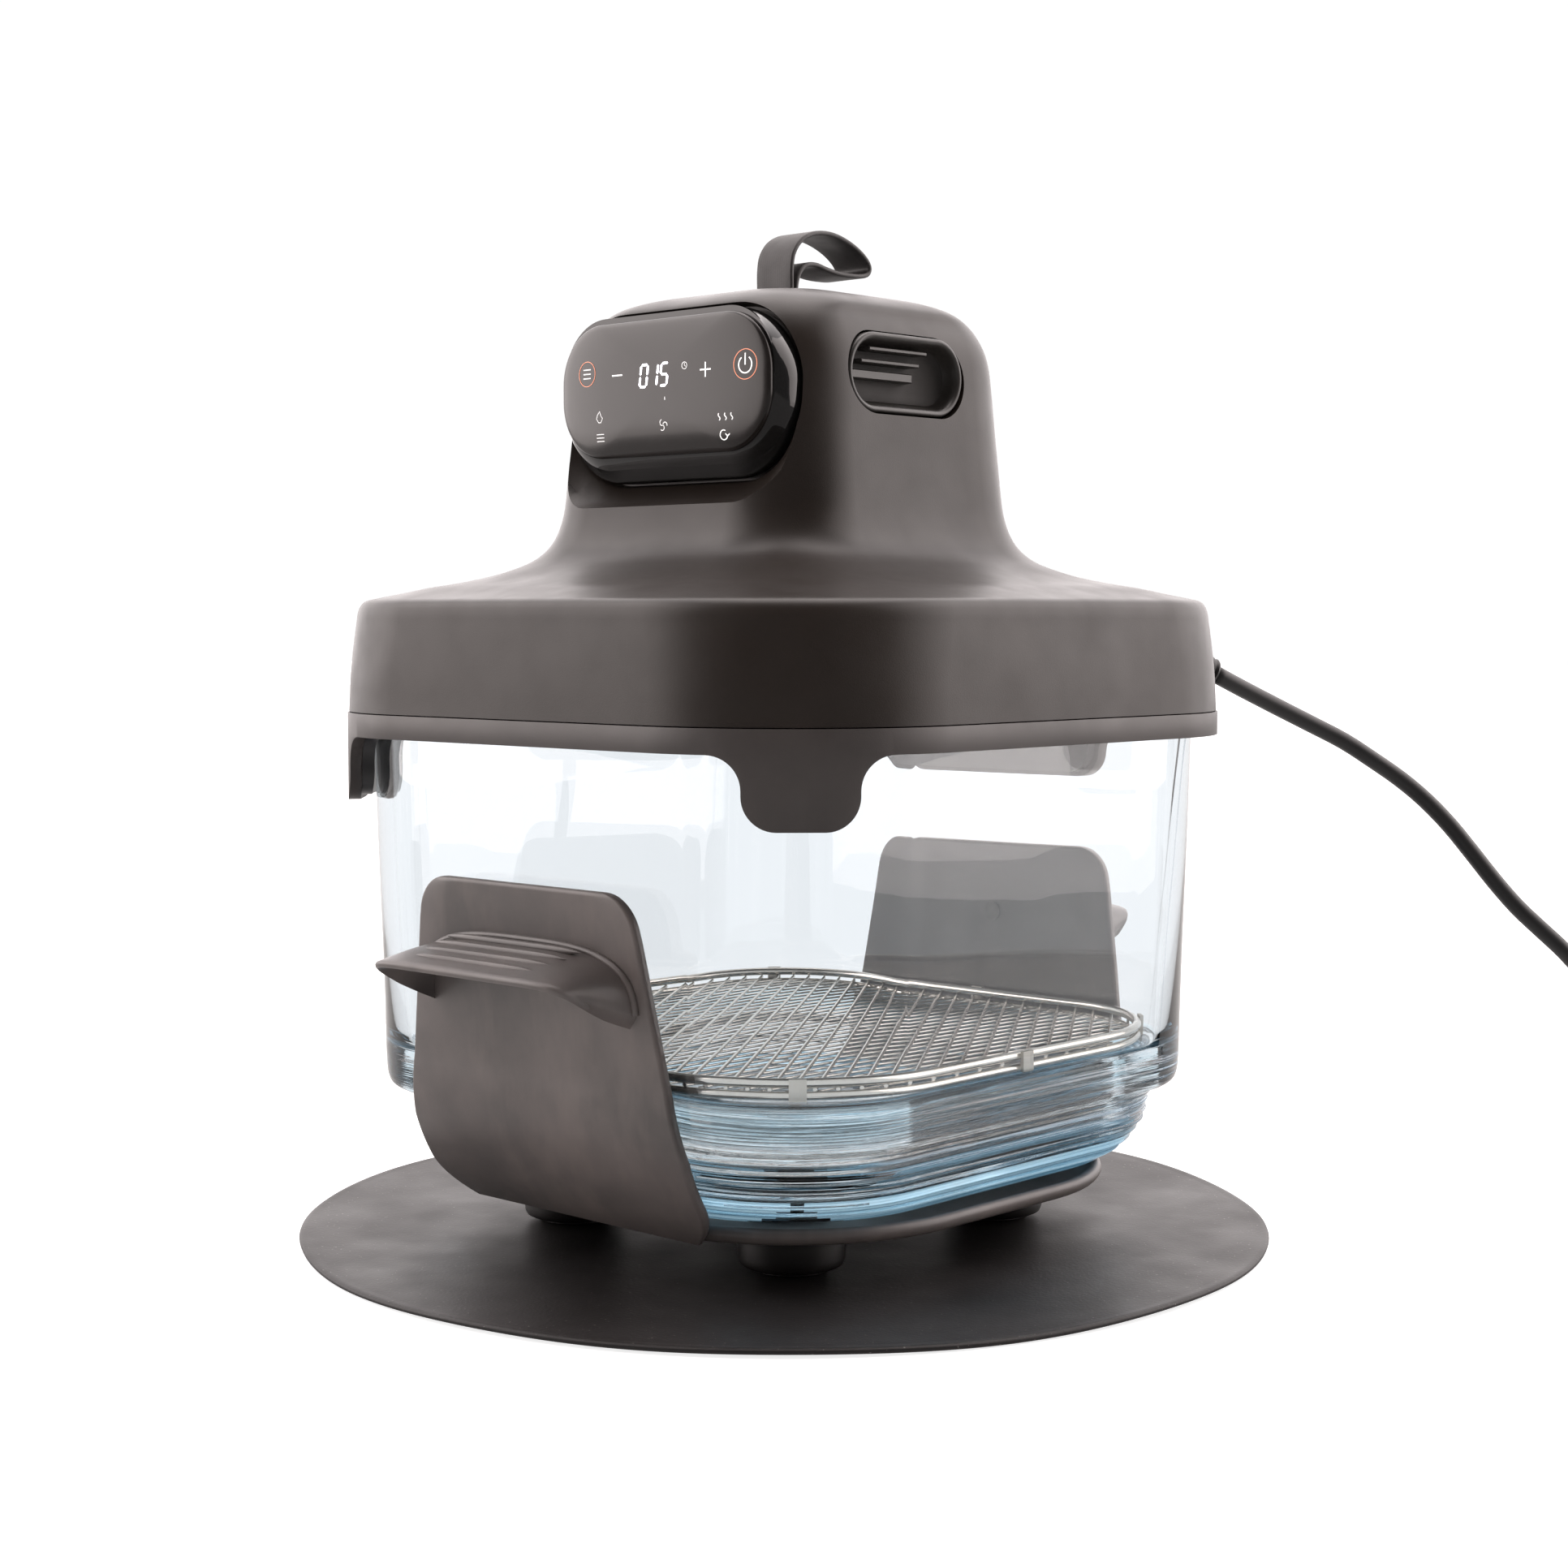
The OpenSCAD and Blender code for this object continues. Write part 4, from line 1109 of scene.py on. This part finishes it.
def make_vents():
    """Scooped side vent: rounded lip, a dish in a darker, duller finish as painted shade in the recess, two
    louvre slats and a ledge below them.
    """
    face = VENT_FACE
    lip = []
    for depth, inset in ((8, 0.65), (0.9, 0.65), (0.35, 0.8), (0.05, 1.2), (0, 1.7), (0.25, 2.3), (1, 2.9),
            (2.8, 3.4), (5, 4), (6, 4.7)):
        lip.append((face - depth, stadium(VENT_HALF_L - inset, VENT_HALF_H - inset)))
    slats = []
    for start, end, height in ((-16.2, 11.8, 7.4), (-20, 8, 3.4)):
        bar = []
        for depth, grow in ((7.4, 0), (2.1, 0), (1.8, -0.25)):
            outline = rounded((end - start) / 2 + grow, 0.62 + grow, 0.3, 6, 2)
            bar.append((face - depth, [((start + end) / 2 + a, height + b) for a, b in outline]))
        slats.append(loft_parts(side_rings(bar)))
    ledge = []
    for depth, right, grow in ((7.4, 7.4, 0), (3.6, 6.2, 0), (3.2, 5.8, -0.3)):
        outline = [(-24, 0.7 + grow), (-24, -2.1 - grow), (right, -2.1 - grow), (right, 0.7 + grow)]
        ledge.append((face - depth, outline))
    slats.append(loft_parts(side_rings(ledge)))
    # The dish's darker, less glossy finish is painted shade for the depth of the recess.
    dish = []
    for depth, inset in ((7.9, 4.2), (5.4, 4.4), (6.4, 5.6), (7, 8), (7.2, 12)):
        dish.append((face - depth, stadium(VENT_HALF_L - inset, VENT_HALF_H - inset)))
    parts = [loft_parts(side_rings(lip), ends=False)] + slats
    floor = [loft_parts(side_rings(dish))]
    for side, node in (("right", "right_vent"), ("left", "left_vent")):
        if side == "left":
            parts = [opposite(part) for part in parts]
            floor = [opposite(part) for part in floor]
        insert = joined(side + "_vent_insert", parts)
        place(insert, "head", M["vent"], [node], smooth_under=40)
        back = joined(side + "_vent_dish_painted_shade", floor)
        place(back, "head", M["vent_dish_painted_shade"], smooth_under=40)


def opposite(part):
    """The same part mirrored to the left side."""
    verts, faces = part
    return [(-x, y, z) for x, y, z in verts], faces


# ---------- control pod ----------
POD = [
    (49.6, 26, 24, 274.3, 44), (50, 26.4, 24, 274.3, 47), (49.6, 26, 23, 274.8, 50.5),
    (48.4, 24, 21, 276.6, 53.6), (47.4, 22.8, 19.7, 278.1, 54.9),
]
LENS_Z = 277.5
LENS = [
    (46.9, 21.6, 18.8, LENS_Z, 53.5), (46.9, 21.6, 18.8, LENS_Z, 55.6), (46.6, 21.3, 18.6, LENS_Z, 56.3),
    (45.8, 20.8, 18.2, LENS_Z, 56.75), (43, 19.5, 17.3, LENS_Z, 57.25), (37, 17, 15.1, LENS_Z, 57.8),
    (28, 13.5, 12, LENS_Z, 58.25), (17, 9.1, 8.1, LENS_Z, 58.5), (6, 3, 2.8, LENS_Z, 58.6),
]


def make_pod():
    pod = loft("pod_housing", [upright(*row) for row in smooth(POD, 4)])
    place(pod, "head", M["pod"], ["control_pod"], smooth_under=45)
    lens = loft("touch_panel", [upright(*row) for row in smooth(LENS, 4)])
    place(lens, "head", M["lens"], ["panel_lens"], smooth_under=45)
    return lens


def stroke(points, width, shut=False):
    """Flat line of even width through (x, z) points, as four-sided pieces."""
    pts = [Vector(p) for p in points]
    count = len(pts)
    edges = []
    for i in range(count):
        before = pts[i - 1] if shut or i > 0 else pts[i]
        after = pts[(i + 1) % count] if shut or i < count - 1 else pts[i]
        along = (after - before).normalized()
        out = Vector((-along.y, along.x)) * width / 2
        edges.append((pts[i] + out, pts[i] - out))
    verts = [tuple(p) for pair in edges for p in pair]
    faces = []
    for i in range(count if shut else count - 1):
        j = (i + 1) % count
        faces.append((2 * i, 2 * i + 1, 2 * j + 1, 2 * j))
    return verts, faces


def arc(x, z, r, start, end, steps=24):
    turns = [math.radians(start + (end - start) * k / steps) for k in range(steps + 1)]
    return [(x + r * math.cos(a), z + r * math.sin(a)) for a in turns]


DIGIT_W = 3.1
DIGIT_H = 6.9
# The lit segments of each digit: top, top right, bottom right, bottom, bottom left, top left, middle
SEGMENTS = {"0": "abcdef", "1": "bc", "5": "acdfg"}


def digit_parts(character, left, base):
    """A seven-segment digit that leans to the right."""
    w, h = DIGIT_W, DIGIT_H
    ends = {
        "a": ((0, h), (w, h)), "b": ((w, h), (w, h / 2)), "c": ((w, h / 2), (w, 0)), "d": ((0, 0), (w, 0)),
        "e": ((0, 0), (0, h / 2)), "f": ((0, h / 2), (0, h)), "g": ((0, h / 2), (w, h / 2)),
    }
    parts = []
    for name in SEGMENTS[character]:
        (x0, z0), (x1, z1) = ends[name]
        start, end = Vector((x0, z0)), Vector((x1, z1))
        along = (end - start).normalized()
        side = Vector((-along.y, along.x)) * 0.36
        a, b = start + along * 0.25, end - along * 0.25
        a_in, b_in = a + along * 0.4, b - along * 0.4
        outline = [a, a_in + side, b_in + side, b, b_in - side, a_in - side]
        leant = [(left + p.x + 0.13 * p.y, base + p.y) for p in outline]
        parts.append((leant, [tuple(range(6))]))
    return parts


def on_lens(name, parts, lens_tree, key):
    """Lays flat (x, z) pieces on the panel's crowned face, just proud of it."""
    lift = 0.12
    solid_parts = []
    for flat_verts, faces in parts:
        front, back = [], []
        for x, z in flat_verts:
            hit = lens_tree.ray_cast(Vector((x * MM, -0.2, z * MM)), Vector((0, 1, 0)))[0]
            y = hit.y / MM if hit else -56
            front.append((x, y - lift, z))
            back.append((x, y + 0.3, z))
        n = len(front)
        all_faces = [tuple(face) for face in faces]
        all_faces += [tuple(i + n for i in reversed(face)) for face in faces]
        count = {}
        for face in faces:
            for i, j in zip(face, face[1:] + face[:1]):
                count[frozenset((i, j))] = count.get(frozenset((i, j)), 0) + 1
        for face in faces:
            for i, j in zip(face, face[1:] + face[:1]):
                if count[frozenset((i, j))] == 1:
                    all_faces.append((i, j, j + n, i + n))
        solid_parts.append((front + back, all_faces))
    piece = joined(name, solid_parts)
    piece.data.materials.append(M[key])
    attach(piece, "head")


def make_symbols(lens):
    tree = BVHTree.FromObject(lens, bpy.context.evaluated_depsgraph_get())
    digits = []
    for k, character in enumerate("015"):
        digits += digit_parts(character, -8.1 + 4.6 * k, 277.6)
    on_lens("display_digits", digits, tree, "digits")
    plus = [stroke([(19, 281.4), (23.6, 281.4)], 0.45), stroke([(21.3, 279.1), (21.3, 283.7)], 0.45)]
    minus = [stroke([(-20.9, 282), (-16.1, 282)], 0.45)]
    power = [stroke(arc(37.8, 281.9, 2.6, 125, 415), 0.38), stroke([(37.8, 281.8), (37.8, 285.4)], 0.38)]
    menu = [stroke([(-35, 283.3 + dz), (-31.4, 283.3 + dz)], 0.35) for dz in (-1.4, 0, 1.4)]
    on_lens("panel_symbols", plus + minus + power, tree, "symbols")
    on_lens("panel_menu", menu, tree, "faint")
    rings = [
        stroke(arc(37.8, 282, 4.6, 0, 352.5, 47), 0.22, True),
        stroke(arc(-33.2, 283.3, 4, 0, 352.5, 47), 0.2, True),
    ]
    on_lens("panel_rings", rings, tree, "amber")
    clock = [
        stroke(arc(12.2, 283.2, 1.1, 0, 345, 23), 0.2, True),
        stroke([(12.2, 284), (12.2, 283.2), (12.8, 282.9)], 0.18),
    ]
    tick = [stroke([(3.4, 273), (3.4, 274)], 0.3)]
    on_lens("panel_marks", clock + tick + legend_marks(), tree, "faint")
    warm = []
    for k in range(3):
        steam = [(27 + 2.6 * k + 0.4 * math.sin(t), 265.4 + 0.36 * t) for t in range(0, 7)]
        warm.append(stroke(steam, 0.3))
    again = [
        stroke(arc(28.6, 260.9, 1.5, 60, 360), 0.3),
        stroke([(29.3, 261.3), (30.1, 260.4), (31, 261.2)], 0.3),
    ]
    on_lens("panel_modes", warm + again, tree, "symbols")


def legend_marks():
    """Small generic signs for the cooking modes."""
    flame = [
        (-27.6, 267.4), (-28.6, 268.6), (-28.1, 269.9), (-27, 271), (-26.5, 269.6), (-25.7, 268.7),
        (-26.5, 267.4),
    ]
    bars = [stroke([(-28.8, 263.6 - 1.1 * k), (-25.2, 263.6 - 1.1 * k)], 0.26) for k in range(3)]
    blades = []
    for k in range(3):
        turn = 120 * k
        x = 2.4 + 0.9 * math.cos(math.radians(turn))
        z = 265.2 + 0.9 * math.sin(math.radians(turn))
        blade = arc(x, z, 0.9, turn - 20, turn + 170, 12)
        blades.append(stroke(blade, 0.26))
    return [stroke(flame, 0.26, True)] + bars + blades


def make_loop():
    """Flexible lifting strap, folded over into a loop, with softly rounded edges."""
    line = [
        (-4.2, 298), (-4.2, 306), (-4.2, 313), (-4.2, 319), (-3.2, 324), (0, 328.2), (5, 330.9), (11, 332),
        (17, 331.8), (23, 330.4), (28.5, 328.2), (32.8, 325.4), (34.6, 322.8), (33.6, 320.6), (30, 319.6),
        (25, 319.3), (19, 319.4), (13, 320.2), (7.5, 321.2), (2.8, 320.6), (0, 318.4), (-1.6, 315.2),
        (-2.2, 311), (-2.3, 305), (-2.3, 298),
    ]
    curve = smooth(line, 5)
    last = len(curve) - 1
    half_w = (high("lift_loop").x - low("lift_loop").x) / 2
    rings = []
    for i, (y, z) in enumerate(curve):
        ahead = curve[min(i + 1, last)]
        behind = curve[max(i - 1, 0)]
        along = Vector((ahead[0] - behind[0], ahead[1] - behind[1])).normalized()
        ring = []
        for a, b in rounded(half_w, 0.8, 0.7, steps=5, flat=4):
            ring.append((a, y - along.y * b, z + along.x * b))
        rings.append(ring)
    loop = loft("carry_loop", rings)
    place(loop, "head", M["loop"], ["lift_loop"], smooth_under=60)


# ---------- CAD nodes that stay, with their finishes ----------
KEPT = {
    "foot_screws": "steel", "bowl_pads": "foot", "grip_screws": "dark_steel", "rack_lower_ring": "wire",
    "rack_upper_ring": "wire", "rack_clips": "clip", "rack_thick_wires": "wire", "rack_fine_wires": "wire",
    "tab_liners": "liner", "bowl_gasket": "gasket", "heat_shield": "pan", "element_guard": "wire",
    "heating_element": "element", "hot_air_fan": "pan", "fan_nut": "steel", "motor_shaft": "steel",
    "cooling_fan": "white", "motor": "motor", "motor_bearings": "bronze", "motor_bracket": "pan",
    "temperature_sensor": "steel", "thermal_fuse": "white", "power_board": "board",
    "control_board": "board", "display_board": "board", "display_module": "white", "loop_anchor": "pan",
    "anchor_screws": "steel", "head_screws": "steel", "plug_blades": "bronze",
}


def finish_kept():
    for node, key in KEPT.items():
        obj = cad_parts[node]
        obj.data.materials.clear()
        obj.data.materials.append(M[key])


# ---------- studio ----------
def make_studio():
    size = 9.0
    bpy.ops.mesh.primitive_plane_add(size=2 * size, location=(0, 0, -0.0002))
    floor = bpy.context.object
    floor.name = "studio_floor"
    floor.data.materials.append(studio_floor().material)
    lights = (
        ("key_left", (-1.46, -1.37, 1.0), 2.2, 35),
        ("fill_right", (1.46, 1.37, 1.0), 2.2, 31),
        ("top", (-0.1, 0.2, 2.2), 1.6, 19),
    )
    aim = Vector((0, 0, 0.15))
    for name, spot, side, power in lights:
        data = bpy.data.lights.new(name, "AREA")
        data.shape = "SQUARE"
        data.size = side
        data.energy = power
        data.color = (1.0, 0.9, 0.87)
        lamp = bpy.data.objects.new(name, data)
        scene.collection.objects.link(lamp)
        lamp.location = spot
        lamp.rotation_euler = (aim - Vector(spot)).to_track_quat("-Z", "Y").to_euler()
    make_world()


def make_world():
    """White surround: full white where it is seen, dimmer for what it lights from the camera's side."""
    world = bpy.data.worlds.new("studio")
    scene.world = world
    world.use_nodes = True
    tree = world.node_tree
    tree.nodes.clear()
    out = add_node(tree, "OutputWorld")
    white = add_node(tree, "Background", Color=(1, 1, 1, 1), Strength=1.02)
    soft = add_node(tree, "Background", Color=(1, 0.935, 0.93, 1))
    behind_glass = add_node(tree, "Background", Color=(0.925, 0.965, 1, 1), Strength=0.94)
    where = add_node(tree, "TexCoord").outputs["Generated"]
    strength = add_node(tree, "MapRange", From_Min=-0.5, From_Max=0.6, To_Min=2.7, To_Max=0.12)
    strength.interpolation_type = "SMOOTHSTEP"
    tree.links.new(towards_camera(tree, where), strength.inputs["Value"])
    tree.links.new(strength.outputs["Result"], soft.inputs["Strength"])
    shown = (
        ("Is Transmission Ray", behind_glass.outputs["Background"]),
        ("Is Camera Ray", white.outputs["Background"]),
    )
    tree.links.new(by_ray(tree, soft.outputs["Background"], shown), out.inputs["Surface"])


# ---------- the scene ----------
make_camera()
cord, cord_length, cord_path = make_cord()
gland = make_gland()
plug = make_plug()
tie = make_tie()
make_mat()
make_feet()
make_cradle()
make_grips()
make_bowl()
make_head()
make_ring()
make_vents()
make_symbols(make_pod())
make_loop()
finish_kept()
make_studio()
scene.view_settings.view_transform = "Standard"
